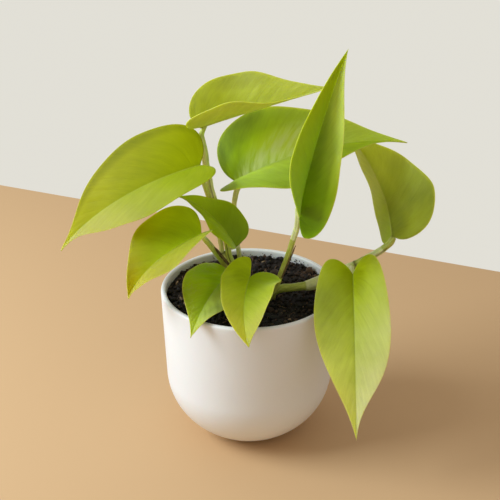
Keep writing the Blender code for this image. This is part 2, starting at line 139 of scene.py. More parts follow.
class Graph:
    """The node tree of a material or of the world."""

    def __init__(self, owner: bpy.types.Material | bpy.types.World) -> None:
        """Open the tree of a new material or world, which holds one shader."""
        owner.use_nodes = True
        self.owner = owner
        self.tree = owner.node_tree
        world = isinstance(owner, bpy.types.World)
        self.shader = self.tree.nodes["Background" if world else "Principled BSDF"]

    def node(self, kind: str, settings: dict | None = None, sockets: dict | None = None
             ) -> bpy.types.Node:
        """Add a node.

        Args:
            kind: the node's type name.
            settings: its own settings, set first; "stops" gives a colour ramp's stops.
            sockets: values or links for its inputs, by name or number.

        Returns:
            The new node.
        """
        made = self.tree.nodes.new(kind)
        for name, value in (settings or {}).items():
            if name == "stops":
                self._set_stops(made.color_ramp, value)
            else:
                setattr(made, name, value)
        for name, value in (sockets or {}).items():
            self.feed(made.inputs[name], value)
        return made

    @staticmethod
    def _set_stops(ramp: bpy.types.ColorRamp, stops: Sequence[tuple[float, Colour]]) -> None:
        """Give a ramp its stops.

        Args:
            ramp: the colour ramp.
            stops: places and colours, in order.
        """
        while len(ramp.elements) < len(stops):
            ramp.elements.new(1.0)
        for element, (place, colour) in zip(ramp.elements, stops):
            element.position = place
            element.color = (*colour, 1.0)

    def feed(self, socket: bpy.types.NodeSocket, value: Link) -> None:
        """Link or set one input.

        Args:
            socket: the input.
            value: a number, a colour, a vector, or what to link from.
        """
        if isinstance(value, Number):
            value = value.socket
        if isinstance(value, bpy.types.NodeSocket):
            self.tree.links.new(value, socket)
        elif socket.type == "RGBA":
            socket.default_value = (*value[:3], 1.0)
        else:
            socket.default_value = value

    def surface(self, **inputs: Link) -> bpy.types.Material | bpy.types.World:
        """Set the shader's inputs.

        Args:
            inputs: values or links by input name, with _ for a space.

        Returns:
            The finished material or world.
        """
        for name, value in inputs.items():
            self.feed(self.shader.inputs[name.replace("_", " ")], value)
        return self.owner

    def stored(self, name: str) -> Number:
        """A number that the mesh stores for each point."""
        made = self.node("ShaderNodeAttribute", {"attribute_name": name})
        return Number(self, made.outputs["Fac"])

    def stored_vector(self, name: str) -> bpy.types.NodeSocket:
        """A vector that the mesh stores for each point."""
        return self.node("ShaderNodeAttribute", {"attribute_name": name}).outputs["Vector"]

    def part(self, vector: bpy.types.NodeSocket, number: int) -> Number:
        """One part of a vector: 0, 1 or 2 for X, Y or Z."""
        made = self.node("ShaderNodeSeparateXYZ", None, {0: vector})
        return Number(self, made.outputs[number])

    def place(self) -> bpy.types.NodeSocket:
        """The point's place in the object's own frame, in metres."""
        return self.node("ShaderNodeTexCoord").outputs["Object"]

    def grain(self, where: bpy.types.NodeSocket, scale: float, detail: float = 3.0,
              rough: float = 0.55) -> Number:
        """Cloudy noise around 0.5.

        Args:
            where: the coordinates.
            scale: lumps to a unit of them.
            detail: octaves.
            rough: strength of the fine octaves.

        Returns:
            The noise.
        """
        made = self.node("ShaderNodeTexNoise", None,
                         {"Vector": where, "Scale": scale, "Detail": detail, "Roughness": rough})
        return Number(self, made.outputs["Fac"])

    def cells(self, where: bpy.types.NodeSocket, scale: float) -> Number:
        """Distance to the nearest cell wall, 0 on the wall.

        Args:
            where: the coordinates.
            scale: cells to a unit of them.

        Returns:
            The distance, in cells.
        """
        made = self.node("ShaderNodeTexVoronoi", {"feature": "DISTANCE_TO_EDGE"},
                         {"Vector": where, "Scale": scale})
        return Number(self, made.outputs["Distance"])

    def mix(self, first: Link, second: Link, share: Link) -> bpy.types.NodeSocket:
        """Blend two colours.

        Args:
            first: the colour at share 0.
            second: the colour at share 1.
            share: how much of the second.

        Returns:
            The blended colour.
        """
        made = self.node("ShaderNodeMix", {"data_type": "RGBA"}, {0: share, 6: first, 7: second})
        return made.outputs[2]

    def dim(self, colour: Link, factor: Number) -> bpy.types.NodeSocket:
        """Scale a colour by a number."""
        made = self.node("ShaderNodeVectorMath", {"operation": "SCALE"},
                         {"Vector": colour, "Scale": factor})
        return made.outputs[0]

    def bump(self, height: Number, depth: float, strength: float = 1.0) -> bpy.types.NodeSocket:
        """Turn a height into a surface normal.

        Args:
            height: the relief, 0 to 1.
            depth: its depth in millimetres.
            strength: how much of it shows.

        Returns:
            The normal.
        """
        made = self.node("ShaderNodeBump", None,
                         {"Height": height, "Distance": depth * MM, "Strength": strength})
        return made.outputs["Normal"]


@dataclass(frozen=True)
class PaintedLightPatch:
    """A soft patch of one half that is lighter or darker than the rest.

    Side is 0 for the left half and 1 for the right; along and over place its middle, as shares of
    the leaf's length and of the way to the edge; reach and spread are its half sizes in the same
    shares; change is how much lighter it is. A patch is painted light where change is above 0 and
    painted shade where it is below 0.
    """

    side: int
    along: float
    over: float
    reach: float
    spread: float
    change: float


@dataclass(frozen=True)
class LeafFinish:
    """Waxy leaf skin: greener round the foot, yellower to the tip, with soft streaks along the veins.

    Left and right each hold the colour round the foot and the colour toward the tip. They are set
    for each half as it is lit, so besides the leaf's own colour they hold painted light and painted
    shade. The streaks are partly the leaf's own tone and partly painted shade of the ripples between
    the veins; the soft patches are painted light and painted shade, and the pale sheen near the
    midrib and the pale edge are painted highlights.
    """

    left: tuple[Colour, Colour]
    right: tuple[Colour, Colour]
    under: Colour = (0.33, 0.37, 0.045)
    streak: float = 0.10
    mottle: float = 0.10
    net: float = 0.0
    veins: float = 10.0
    gloss: float = 0.42
    shine: float = 0.16
    margin: float = 0.3
    painted_sheen: float = 0.0
    painted_light_patches: tuple[PaintedLightPatch, ...] = ()

    def material(self, name: str) -> bpy.types.Material:
        """Build the leaf's material.

        Args:
            name: the material's name.

        Returns:
            The material.
        """
        g = Graph(bpy.data.materials.new(name))
        where, vein_place = g.place(), g.stored_vector("vein")
        side, over, along = g.stored("side"), g.stored("over"), g.stored("along")
        flow, across, edge = g.stored("flow"), g.stored("across"), g.stored("edge")
        under = g.stored("under")
        streaks = g.grain(vein_place, 1.0, 3.0, 0.62)
        fibres = g.grain(vein_place, 3.1, 2.0, 0.5)
        broad = g.grain(where, 42.0, 2.0)
        fine = g.grain(where, 1000.0, 3.0, 0.6)
        lines = ((flow * self.veins).fraction() - 0.5).size() * 2.0
        fade = over.step(1.0, 0.45) * across.step(0.8, 4.0)
        vein = lines.step(0.86, 1.0) * fade
        rib = across.step(0.7, 0.25)
        margin = edge.step(0.55, 0.1)

        ripe = (along * 0.9 + over * 0.2 + (broad - 0.5) * 0.3).step(0.0, 0.95)
        # Foot and tip colours of each half, which hold painted light and painted shade for how that half is lit.
        tint = g.mix(g.mix(self.left[0], self.left[1], ripe),
                     g.mix(self.right[0], self.right[1], ripe), side.step(0.45, 0.55))
        tint = g.mix(tint, self.under, under * 0.6)
        # The streaks along the veins are partly the leaf's own tone and partly painted shade of the ripples between
        # them.
        light = (1.0 + (streaks - 0.5) * self.streak * 2.0 + (fibres - 0.5) * self.streak
                 + (broad - 0.5) * self.mottle * 1.6 + (fine - 0.5) * 0.07 - vein * 0.05)
        # Patches: painted light and painted shade, lightening or darkening soft spots of a half.
        for patch in self.painted_light_patches:
            aside = (along - patch.along) * (1.0 / patch.reach)
            out = (over - patch.over) * (1.0 / patch.spread)
            half = side.step(0.4, 0.6) if patch.side else side.step(0.6, 0.4)
            light = light + (aside * aside + out * out).step(1.7, 0.0) * half * patch.change
        tint = g.dim(tint, light)
        pale = (0.50, 0.55, 0.12)
        # Pale streaky sheen on the left half near the midrib, toward the foot: a painted highlight.
        if self.painted_sheen:
            near = (over - along * 1.2).step(0.32, -0.05) * along.step(0.78, 0.3) * side.step(0.6, 0.4)
            tint = g.mix(tint, (0.57, 0.72, 0.27), near * (0.35 + streaks.step(0.35, 0.65)) * self.painted_sheen)
        if self.net:
            cell = g.cells(g.node("ShaderNodeVectorMath", {"operation": "MULTIPLY_ADD"},
                                  {0: g.node("ShaderNodeTexNoise", None,
                                             {"Vector": where, "Scale": 260.0}).outputs["Color"],
                                   1: (0.0022, 0.0022, 0.0022), 2: where}).outputs[0], 330.0)
            worn = (broad * 0.5 + streaks * 0.6 + over * 0.25).step(0.55, 0.85)
            tint = g.mix(tint, pale, cell.step(0.1, 0.0) * worn * self.net)
            tint = g.mix(tint, pale, vein * self.net * 0.15)
        tint = g.mix(tint, pale, rib * (0.22 + under * 0.3))
        # Pale edge along the margin: a painted highlight.
        tint = g.mix(tint, (0.60, 0.60, 0.16), margin * self.margin)

        relief = streaks * 0.5 + fibres * 0.3 + fine * 0.12 + (1.0 - vein) * 0.3
        return g.surface(
            Base_Color=tint,
            Roughness=self.gloss + (fine - 0.5) * 0.12 + (streaks - 0.5) * 0.2 + under * 0.12,
            Normal=g.bump(relief, 0.14, 0.6),
            Subsurface_Weight=1.0,
            Subsurface_Radius=(0.9, 1.0, 0.12),
            Subsurface_Scale=2.5 * MM,
            Specular_IOR_Level=self.shine,
        )


@dataclass(frozen=True)
class SkinFinish:
    """Stalk and stem skin: long fibres, paler worn ridges, brown scars at the nodes."""

    dark: Colour
    light: Colour
    pale: Colour
    foot: Colour
    rough: float = 0.42

    def material(self, name: str) -> bpy.types.Material:
        """Build the skin.

        Args:
            name: the material's name.

        Returns:
            The material.
        """
        g = Graph(bpy.data.materials.new(name))
        where, skin = g.place(), g.stored_vector("skin")
        fibre = g.grain(skin, 2.6, 4.0, 0.62)
        blotch = g.grain(where, 140.0, 3.0)
        speck = g.grain(where, 1500.0, 2.0)
        ring, wing, low = g.stored("ring"), g.stored("wing"), g.stored("low")
        groove, seam, brown = g.stored("groove"), g.stored("seam"), g.stored("brown")
        tint = g.mix(self.dark, self.light, fibre.step(0.3, 0.72))
        tint = g.mix(tint, self.pale, wing * (0.55 + blotch * 0.5))
        tint = g.mix(tint, (0.52, 0.36, 0.11), brown * (0.3 + fibre * 0.5))
        # Painted shade: the groove is darkened toward the dark tone.
        tint = g.mix(tint, self.dark, groove * 0.45)
        tint = g.dim(tint, 1.0 + (blotch - 0.5) * 0.5 + (speck - 0.5) * 0.22)
        tint = g.mix(tint, self.foot, low * 0.8)
        tint = g.mix(tint, (0.085, 0.05, 0.022), ring * (0.45 + speck * 0.7))
        # Dark lines of painted shade along given stretches of the bar.
        tint = g.mix(tint, (0.05, 0.03, 0.012), seam * 0.85)
        relief = fibre * 0.6 + speck * 0.25 + ring * 0.3
        return g.surface(
            Base_Color=tint,
            Roughness=self.rough + (fibre - 0.5) * 0.22 + ring * 0.25 + low * 0.12,
            Normal=g.bump(relief, 0.2, 0.7),
            Specular_IOR_Level=0.3,
            Subsurface_Weight=0.6,
            Subsurface_Radius=(0.9, 1.0, 0.3),
            Subsurface_Scale=1.6 * MM,
        )


@dataclass(frozen=True)
class DriedFinish:
    """Dead sheath: dry brown fibres, darker at the torn edge."""

    dark: Colour = (0.055, 0.032, 0.010)
    light: Colour = (0.40, 0.27, 0.11)

    def material(self, name: str) -> bpy.types.Material:
        """Build the dry skin.

        Args:
            name: the material's name.

        Returns:
            The material.
        """
        g = Graph(bpy.data.materials.new(name))
        fibre = g.grain(g.stored_vector("skin"), 3.4, 4.0, 0.7)
        blotch = g.grain(g.place(), 260.0, 3.0)
        rim = g.stored("rim")
        tint = g.mix(self.dark, self.light, (fibre * 0.65 + blotch * 0.5).step(0.42, 0.78))
        tint = g.mix(tint, self.dark, rim.step(0.6, 1.0) * 0.7)
        return g.surface(
            Base_Color=tint,
            Roughness=0.74 + (fibre - 0.5) * 0.25,
            Normal=g.bump(fibre * 0.7 + blotch * 0.3, 0.3, 0.9),
            Specular_IOR_Level=0.3,
        )


@dataclass(frozen=True)
class SoilFinish:
    """Moist potting soil: near black crumbs, brown fibres and a few tan chips."""

    stops: tuple[tuple[float, Colour], ...] = (
        (0.0, (0.007, 0.004, 0.002)), (0.4, (0.019, 0.0105, 0.0055)),
        (0.7, (0.06, 0.032, 0.017)), (0.88, (0.15, 0.085, 0.045)), (1.0, (0.46, 0.30, 0.16)))

    def material(self, name: str) -> bpy.types.Material:
        """Build the soil.

        Args:
            name: the material's name.

        Returns:
            The material.
        """
        g = Graph(bpy.data.materials.new(name))
        where, kind = g.place(), g.stored("kind")
        fine = g.grain(where, 1400.0, 4.0, 0.7)
        lump = g.grain(where, 300.0, 3.0)
        made = g.node("ShaderNodeValToRGB", {"stops": self.stops},
                      {"Fac": kind + (fine - 0.5) * 0.22})
        # Darker toward the front, on the viewer's side: painted shade under the leaves.
        damp_and_shade = g.part(where, 1).step(12.0 * MM, -14.0 * MM)
        tint = g.dim(made.outputs["Color"], (0.6 + lump * 0.9) * (1.1 - damp_and_shade * 0.5))
        return g.surface(
            Base_Color=tint,
            Roughness=0.66 + (fine - 0.5) * 0.4,
            Normal=g.bump(fine * 0.7 + lump * 0.3, 0.4, 1.0),
            Specular_IOR_Level=0.34,
        )


@dataclass(frozen=True)
class GlazeFinish:
    """Satin white glaze on stoneware, with a bare foot and soft unevenness."""

    glaze: Colour = (0.86, 0.86, 0.84)
    bare: Colour = (0.62, 0.56, 0.47)

    def material(self, name: str) -> bpy.types.Material:
        """Build the glaze.

        Args:
            name: the material's name.

        Returns:
            The material.
        """
        g = Graph(bpy.data.materials.new(name))
        where = g.place()
        height, inside = g.stored("height"), g.stored("inside")
        cloud = g.grain(where, 28.0, 3.0)
        pores = g.grain(where, 1300.0, 2.0, 0.6)
        orange = g.grain(where, 420.0, 2.0)
        foot = height.step(0.6, 0.25)
        damp_and_shade = inside * height.step(99.0, 92.0) * g.grain(where, 160.0, 4.0, 0.65).step(0.42, 0.72)
        tint = g.dim(self.glaze, 1.0 + (cloud - 0.5) * 0.05 + (pores - 0.5) * 0.03)
        # Inner wall below the lip given a whiter, warmer glaze: painted light.
        tint = g.mix(tint, (1.0, 0.985, 0.92), height.step(92.0, 96.0) * inside)
        # Top of the lip outside given a warmer tint: painted light.
        tint = g.mix(tint, (0.90, 0.87, 0.80), height.step(97.5, 99.0) * (1.0 - inside))
        tint = g.mix(tint, (0.50, 0.47, 0.42), damp_and_shade * 0.1)
        tint = g.mix(tint, self.bare, foot)
        return g.surface(
            Base_Color=tint,
            Roughness=0.40 + (cloud - 0.5) * 0.14 + (pores - 0.5) * 0.1 + foot * 0.4,
            Normal=g.bump(orange * 0.6 + pores * 0.4, 0.07, 0.5),
            Specular_IOR_Level=0.45,
            Subsurface_Weight=0.05,
            Subsurface_Scale=1.0 * MM,
        )


@dataclass(frozen=True)
class FloorFinish:
    """Plain pale floor."""

    colour: Colour

    def material(self, name: str) -> bpy.types.Material:
        """Build the plain floor."""
        g = Graph(bpy.data.materials.new(name))
        return g.surface(Base_Color=self.colour, Roughness=0.7, Specular_IOR_Level=0.15)


class MeshPiece:
    """Collects points, faces and stored numbers, then makes one dressed object of them."""

    def __init__(self, name: str) -> None:
        """Start an empty piece."""
        self.name = name
        self.points: list[np.ndarray] = []
        self.faces: list[tuple[int, ...]] = []
        self.stores: list[dict[str, np.ndarray]] = []
        self.count = 0

    def add(self, points: np.ndarray, faces: Sequence[Sequence[int]], **stores: np.ndarray | float
            ) -> None:
        """Add a body.

        Args:
            points: its points, n by 3, in millimetres.
            faces: corners of each face, counted from this body's first point.
            stores: numbers or vectors to store for each point.
        """
        points = np.asarray(points, float).reshape(-1, 3)
        first = self.count
        self.points.append(points)
        self.faces.extend(tuple(int(corner) + first for corner in face) for face in faces)
        filled = {}
        for name, value in stores.items():
            value = np.asarray(value, float)
            filled[name] = np.full(len(points), float(value)) if value.ndim == 0 else value
        self.stores.append(filled)
        self.count += len(points)

    def build(self, finish: bpy.types.Material, nodes: Sequence[str], slot: str
              ) -> bpy.types.Object:
        """Make the object, attach it to the body and hide the solids that it replaces.

        Args:
            finish: its material.
            nodes: the solids that it replaces.
            slot: not used.

        Returns:
            The object.
        """
        mesh = bpy.data.meshes.new(self.name)
        mesh.from_pydata((np.concatenate(self.points) * MM).tolist(), [], self.faces)
        for name in self.stores[0]:
            values = np.concatenate([filled[name] for filled in self.stores])
            kind, key = ("FLOAT_VECTOR", "vector") if values.ndim == 2 else ("FLOAT", "value")
            mesh.attributes.new(name, kind, "POINT").data.foreach_set(key, values.ravel())
        mesh.validate()
        mesh.shade_smooth()
        mesh.materials.append(finish)
        piece = bpy.data.objects.new(self.name, mesh)
        bpy.context.collection.objects.link(piece)
        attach(piece, BODY)
        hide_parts(*nodes)
        LOG.info("%s: %d points, %d faces", self.name, self.count, len(self.faces))
        return piece


def grid_faces(rows: int, columns: int, loop: bool = False) -> list[tuple[int, int, int, int]]:
    """Quads of a grid of points.

    Args:
        rows: how many rows.
        columns: how many points in a row.
        loop: whether the last column joins the first.

    Returns:
        The corner numbers of each quad.
    """
    faces = []
    for row in range(rows - 1):
        for column in range(columns if loop else columns - 1):
            beside = (column + 1) % columns
            a, b = row * columns + column, row * columns + beside
            faces.append((a, b, b + columns, a + columns))
    return faces


def smooth_path(points: np.ndarray, step: float) -> np.ndarray:
    """A smooth curve through points of any dimension.

    Args:
        points: the points, n by d.
        step: the wanted spacing, in millimetres.

    Returns:
        The points of the curve.
    """
    padded = np.vstack([2 * points[0] - points[1], points, 2 * points[-1] - points[-2]])
    path = []
    for a, b, c, d in zip(padded, padded[1:], padded[2:], padded[3:]):
        count = max(1, round(float(np.linalg.norm((c - b)[:3])) / step))
        t = (np.arange(count) / count)[:, None]
        path.append(0.5 * (2 * b + (c - a) * t + (2 * a - 5 * b + 4 * c - d) * t**2
                           + (3 * b - a - 3 * c + d) * t**3))
    path.append(points[-1:])
    return np.vstack(path)


def path_frames(path: np.ndarray, hint: Point) -> tuple[np.ndarray, np.ndarray]:
    """Axes across and up at each point of a path, carried along without twist.

    Args:
        path: the points, n by 3.
        hint: the up direction at the start.

    Returns:
        The across axes and the up axes.
    """
    ahead = np.gradient(path, axis=0)
    ahead /= np.linalg.norm(ahead, axis=1)[:, None]
    up, acrosses, ups = np.array(hint, float), [], []
    for way in ahead:
        up = up - way * float(up @ way)
        if np.linalg.norm(up) < 0.05:
            up = np.cross(way, (0.0, 1.0, 0.0))
        up /= np.linalg.norm(up)
        acrosses.append(np.cross(way, up))
        ups.append(up)
    return np.array(acrosses), np.array(ups)


def hump(x: np.ndarray, centre: float, half: float) -> np.ndarray:
    """A bell of height 1 at centre, down to about a third at half away."""
    return np.exp(-((x - centre) / half)**2)


def noise_at(points: np.ndarray, size: float, seed: float) -> np.ndarray:
    """Smooth noise between about -1 and 1 at each point.

    Args:
        points: the points, n by 3.
        size: the size of its lumps.
        seed: shifts it, so that pieces differ.

    Returns:
        One number for each point.
    """
    shift = Vector((seed * 17.3, seed * 5.1, seed * 9.7))
    return np.array([noise.noise(Vector(point) / size + shift) for point in points])


@dataclass(frozen=True)
class PotShape:
    """Thrown pot with a round bottom, a flat foot and a rounded lip."""

    lip_z: float = 98.0
    lip_radius: float = 1.7
    rim_radius: float = 55.0
    waist_radius: float = 53.0
    waist_z: float = 42.4
    bottom_half_height: float = 47.5
    wall: float = 3.5
    floor: float = 5.0
    segments: int = 144
    foot_round: float = 0.7

    def outer(self, z: float) -> float:
        """Outside radius at a height."""
        if z >= self.waist_z:
            share = (z - self.waist_z) / (self.lip_z - self.waist_z)
            return self.waist_radius + (self.rim_radius - self.waist_radius) * share
        drop = (self.waist_z - z) / self.bottom_half_height
        return self.waist_radius * math.sqrt(1 - drop**2)

    def inner(self, z: float) -> float:
        """Inside radius at a height."""
        if z >= self.waist_z:
            return self.outer(z) - self.wall
        ratio = (self.waist_z - z) / (self.waist_z - self.floor)
        return (self.waist_radius - self.wall) * math.sqrt(max(0.0, 1 - ratio**2))

    def profile(self) -> list[tuple[float, float, float]]:
        """Radius, height and whether it is inside, from the foot's middle over the lip.

        Returns:
            The points of the section.
        """
        section = [(0.0, 0.0, 0.0), (10.0, 0.0, 0.0), (20.0, 0.0, 0.0)]
        foot = self.outer(0.0)
        for turn in np.radians((-90, -60, -30)):
            section.append((foot - 1.2 + 0.9 * math.cos(turn), 0.7 + 0.7 * math.sin(turn), 0.0))
        for z in np.concatenate([np.linspace(1.0, 40.0, 34), np.linspace(42.4, 96.5, 24)]):
            section.append((self.outer(float(z)), float(z), 0.0))
        for turn in np.radians(np.arange(0, 181, 12)):
            radius = self.rim_radius - self.lip_radius + self.lip_radius * math.cos(turn)
            section.append((radius, self.lip_z + self.lip_radius * math.sin(turn),
                            1.0 if turn > 1.9 else 0.0))
        for z in np.concatenate([np.linspace(97.0, 42.4, 26), np.linspace(40.0, 5.6, 16)]):
            section.append((self.inner(float(z)), float(z), 1.0))
        section.append((0.0, self.floor, 1.0))
        return section


class Pot:
    """The white pot."""

    def __init__(self, shape: PotShape) -> None:
        """Keep the pot's shape."""
        self.shape = shape

    def build(self) -> None:
        """Turn the section and dress it, with the slight unevenness of a thrown wall."""
        section = np.array(self.shape.profile())
        turns = np.linspace(0, 2 * np.pi, self.shape.segments, endpoint=False)
        radius, height = section[1:-1, 0][:, None], section[1:-1, 1][:, None]
        uneven = 1 + 0.0011 * np.sin(2 * turns + 0.6) + 0.0006 * np.sin(3 * turns + height / 30)
        uneven = np.where(height > 1.5, uneven, 1.0)
        rings = np.stack([radius * uneven * np.cos(turns), radius * uneven * np.sin(turns),
                          height + 0 * turns], axis=-1)
        rows, columns = rings.shape[:2]
        points = np.vstack([rings.reshape(-1, 3), (0, 0, section[0, 1]), (0, 0, section[-1, 1])])
        faces: list[tuple[int, ...]] = grid_faces(rows, columns, loop=True)
        low, high, last = rows * columns, rows * columns + 1, (rows - 1) * columns
        for k in range(columns):
            m = (k + 1) % columns
            faces.append((m, k, low))
            faces.append((last + k, last + m, high))
        inside = np.concatenate([np.repeat(section[1:-1, 2], columns), (0.0, 1.0)])
        piece = MeshPiece("glazed_pot")
        piece.add(points, faces, height=points[:, 2], inside=inside)
        piece.build(GlazeFinish().material("satin glaze"), ["pot"], "ceramic")


@dataclass(frozen=True)
class SoilShape:
    """Level of the soil, its relief and what lies loose in it."""

    level: float = 94.3
    gap: float = 0.3
    relief: float = 1.7
    lump: float = 8.0
    crumbs: int = 900
    grit: int = 3000
    chips: int = 60
    fibres: int = 60
    splashes: int = 46
    seed: int = 11
    bark: tuple[tuple[float, float], ...] = (
        (33.0, -18.7), (36.8, -21.5), (-46.0, 11.7), (-42.5, -20.0), (24.5, -33.6), (8.0, -11.0))


class Soil:
    """Crumbly soil with chips of bark and root fibres."""

    def __init__(self, shape: SoilShape, pot: PotShape) -> None:
        """Keep the shape, the pot round it and a seeded source of chance."""
        self.shape = shape
        self.pot = pot
        self.chance = np.random.default_rng(shape.seed)
        self.radius = pot.inner(shape.level) - shape.gap
        self.piece = MeshPiece("potting_soil")

    def height(self, x: float, y: float) -> float:
        """Height of the ground at a place, heaped a little against the wall."""
        spot = Vector((x, y, 0.0)) / self.shape.lump
        rough = noise.noise(spot) + 0.55 * noise.noise(spot * 2.3) + 0.3 * noise.noise(spot * 5.1)
        near = max(0.0, (math.hypot(x, y) - self.radius + 6.0) / 6.0)
        heap = near * (0.5 + 1.6 * max(0.0, noise.noise(spot * 1.7 + Vector((3.0, 1.0, 0.0)))))
        return self.shape.level + self.shape.relief * rough * 0.6 + heap

    def ground(self) -> None:
        """The continuous ground, down to the pot's floor."""
        turns = np.linspace(0, 2 * np.pi, 96, endpoint=False)
        rings = []
        for share in np.linspace(0.02, 1.0, 34):
            radius = self.radius * share
            rings.append([(radius * math.cos(t), radius * math.sin(t),
                           self.height(radius * math.cos(t), radius * math.sin(t)))
                          for t in turns])
        for z in (80.0, 60.0, 42.4, 32.0, 23.0, 16.0, 10.5, 7.0):
            radius = self.pot.inner(z) - self.shape.gap
            rings.append([(radius * math.cos(t), radius * math.sin(t), z + self.shape.gap)
                          for t in turns])
        rings = np.array(rings)
        rows, columns = rings.shape[:2]
        points = np.vstack([rings.reshape(-1, 3), (0, 0, self.height(0, 0)),
                            (0, 0, self.pot.floor + self.shape.gap)])
        faces: list[tuple[int, ...]] = [face[::-1] for face in grid_faces(rows, columns, True)]
        top, bottom, last = rows * columns, rows * columns + 1, (rows - 1) * columns
        for k in range(columns):
            m = (k + 1) % columns
            faces.append((k, m, top))
            faces.append((last + m, last + k, bottom))
        self.piece.add(points, faces, kind=0.3)

    def lump_points(self, ball: np.ndarray, size: np.ndarray, rough: float) -> np.ndarray:
        """A lump of random shape round the origin.

        Args:
            ball: points of a unit ball.
            size: half sizes.
            rough: how far its points stray.

        Returns:
            The lump's points.
        """
        stray = 1 + rough * self.chance.standard_normal(len(ball))[:, None]
        turn = Matrix.Rotation(self.chance.uniform(0, 6.28), 3,
                               Vector(self.chance.standard_normal(3)))
        return (ball * stray * size) @ np.array(turn)

    def drop(self, coarse: bool, size: np.ndarray, x: float, y: float, kind: float) -> None:
        """Lay one lump on the ground.

        Args:
            coarse: whether it is small enough for a plain angular body.
            size: its half sizes.
            x: where it lies.
            y: where it lies.
            kind: its colour, from 0, near black, to 1, tan.
        """
        reach = math.hypot(x, y)
        inner = min(1.0, (self.radius - 0.75 * float(size.max())) / max(reach, 0.1))
        x, y = x * inner, y * inner
        ball, faces = unit_ball(split=not coarse)
        points = self.lump_points(ball, size, 0.2 if coarse else 0.15)
        points += (x, y, self.height(x, y) + 0.35 * float(size.mean()))
        self.piece.add(points, faces, kind=kind)

    def somewhere(self) -> tuple[float, float]:
        """A place on the ground, by chance."""
        reach = self.radius * math.sqrt(self.chance.uniform(0, 1))
        turn = self.chance.uniform(0, 2 * math.pi)
        return reach * math.cos(turn), reach * math.sin(turn)

    def loose(self) -> None:
        """Crumbs, grit and chips that lie on the ground."""
        for _ in range(self.shape.crumbs):
            size = np.exp(self.chance.normal(0.0, 0.4)) * self.chance.uniform(0.6, 1.25, 3)
            self.drop(False, size, *self.somewhere(), 0.03 + 0.8 * self.chance.uniform()**1.7)
        for _ in range(self.shape.grit):
            size = np.exp(self.chance.normal(-0.75, 0.3)) * self.chance.uniform(0.6, 1.5, 3)
            self.drop(True, size, *self.somewhere(), 0.05 + 0.86 * self.chance.uniform()**2)
        for _ in range(self.shape.chips):
            size = self.chance.uniform((0.9, 0.5, 0.25), (2.4, 1.1, 0.5))
            kind = self.chance.choice((0.86, 0.9, 0.97), p=(0.5, 0.3, 0.2))
            self.drop(False, size, *self.somewhere(), float(kind))
        for x, y in self.shape.bark:
            size = self.chance.uniform((1.3, 0.8, 0.5), (2.2, 1.2, 0.8))
            self.drop(False, size, x, y, 0.97)

    def splashes(self) -> None:
        """Grit that sticks to the wall above the ground, mostly at the back."""
        ball, faces = unit_ball(split=False)
        for _ in range(self.shape.splashes):
            turn = self.chance.normal(1.35, 0.6)
            z = self.shape.level + 0.6 + abs(self.chance.normal(0.0, 1.6))
            z = min(z, 97.2)
            size = self.chance.uniform(0.22, 0.5, 3)
            reach = self.pot.inner(z) - 0.3 * float(size.min())
            points = self.lump_points(ball, size, 0.2)
            points += (reach * math.cos(turn), reach * math.sin(turn), z)
            self.piece.add(points, faces, kind=float(self.chance.uniform(0.1, 0.6)))

    def threads(self) -> None:
        """Fine root and peat fibres."""
        for _ in range(self.shape.fibres):
            reach = (self.radius - 5) * math.sqrt(self.chance.uniform(0, 1))
            turn = self.chance.uniform(0, 2 * math.pi)
            x, y = reach * math.cos(turn), reach * math.sin(turn)
            heading = self.chance.uniform(0, 2 * math.pi)
            spots, length = [], self.chance.uniform(2.5, 7.0)
            for k in range(5):
                heading += self.chance.uniform(-0.6, 0.6)
                lift = self.chance.uniform(0.3, 1.5) if 0 < k < 4 else 0.0
                spots.append((x, y, self.height(x, y) + lift, 0.16))
                x += math.cos(heading) * length / 4
                y += math.sin(heading) * length / 4
            if math.hypot(x, y) < self.radius - 1:
                bar = Bar(np.array(spots), sides=5, step=0.8)
                self.piece.add(*bar.shell(), kind=float(self.chance.uniform(0.8, 0.95)))

    def build(self) -> None:
        """Lay the soil."""
        self.ground()
        self.loose()
        self.threads()
        self.splashes()
        self.piece.build(SoilFinish().material("moist soil"), ["soil"], "soil")


@lru_cache
def unit_ball(split: bool) -> tuple[np.ndarray, list[tuple[int, ...]]]:
    """Points and faces of a coarse round ball, made from an icosahedron.

    Args:
        split: whether each of its faces is split in four.

    Returns:
        The points, n by 3, and the faces.
    """
    golden = (1 + math.sqrt(5)) / 2
    corners = [(-1, golden, 0), (1, golden, 0), (-1, -golden, 0), (1, -golden, 0),
               (0, -1, golden), (0, 1, golden), (0, -1, -golden), (0, 1, -golden),
               (golden, 0, -1), (golden, 0, 1), (-golden, 0, -1), (-golden, 0, 1)]
    near = 2.1
    points = [np.array(corner, float) for corner in corners]
    faces = []
    for a in range(12):
        for b in range(a + 1, 12):
            for c in range(b + 1, 12):
                sides = [points[a] - points[b], points[b] - points[c], points[c] - points[a]]
                if all(np.linalg.norm(side) < near for side in sides):
                    outward = np.cross(points[b] - points[a], points[c] - points[a]) @ points[a]
                    faces.append((a, b, c) if outward > 0 else (a, c, b))
    middles: dict[frozenset, int] = {}
    fine = []

    def middle(a: int, b: int) -> int:
        """Number of the point halfway along an edge, made once."""
        pair = frozenset((a, b))
        if pair not in middles:
            middles[pair] = len(points)
            points.append((points[a] + points[b]) / 2)
        return middles[pair]

    for a, b, c in faces if split else ():
        ab, bc, ca = middle(a, b), middle(b, c), middle(c, a)
        fine += [(a, ab, ca), (b, bc, ab), (c, ca, bc), (ab, bc, ca)]
    ball = np.array([point / np.linalg.norm(point) for point in points])
    return ball, fine if split else faces


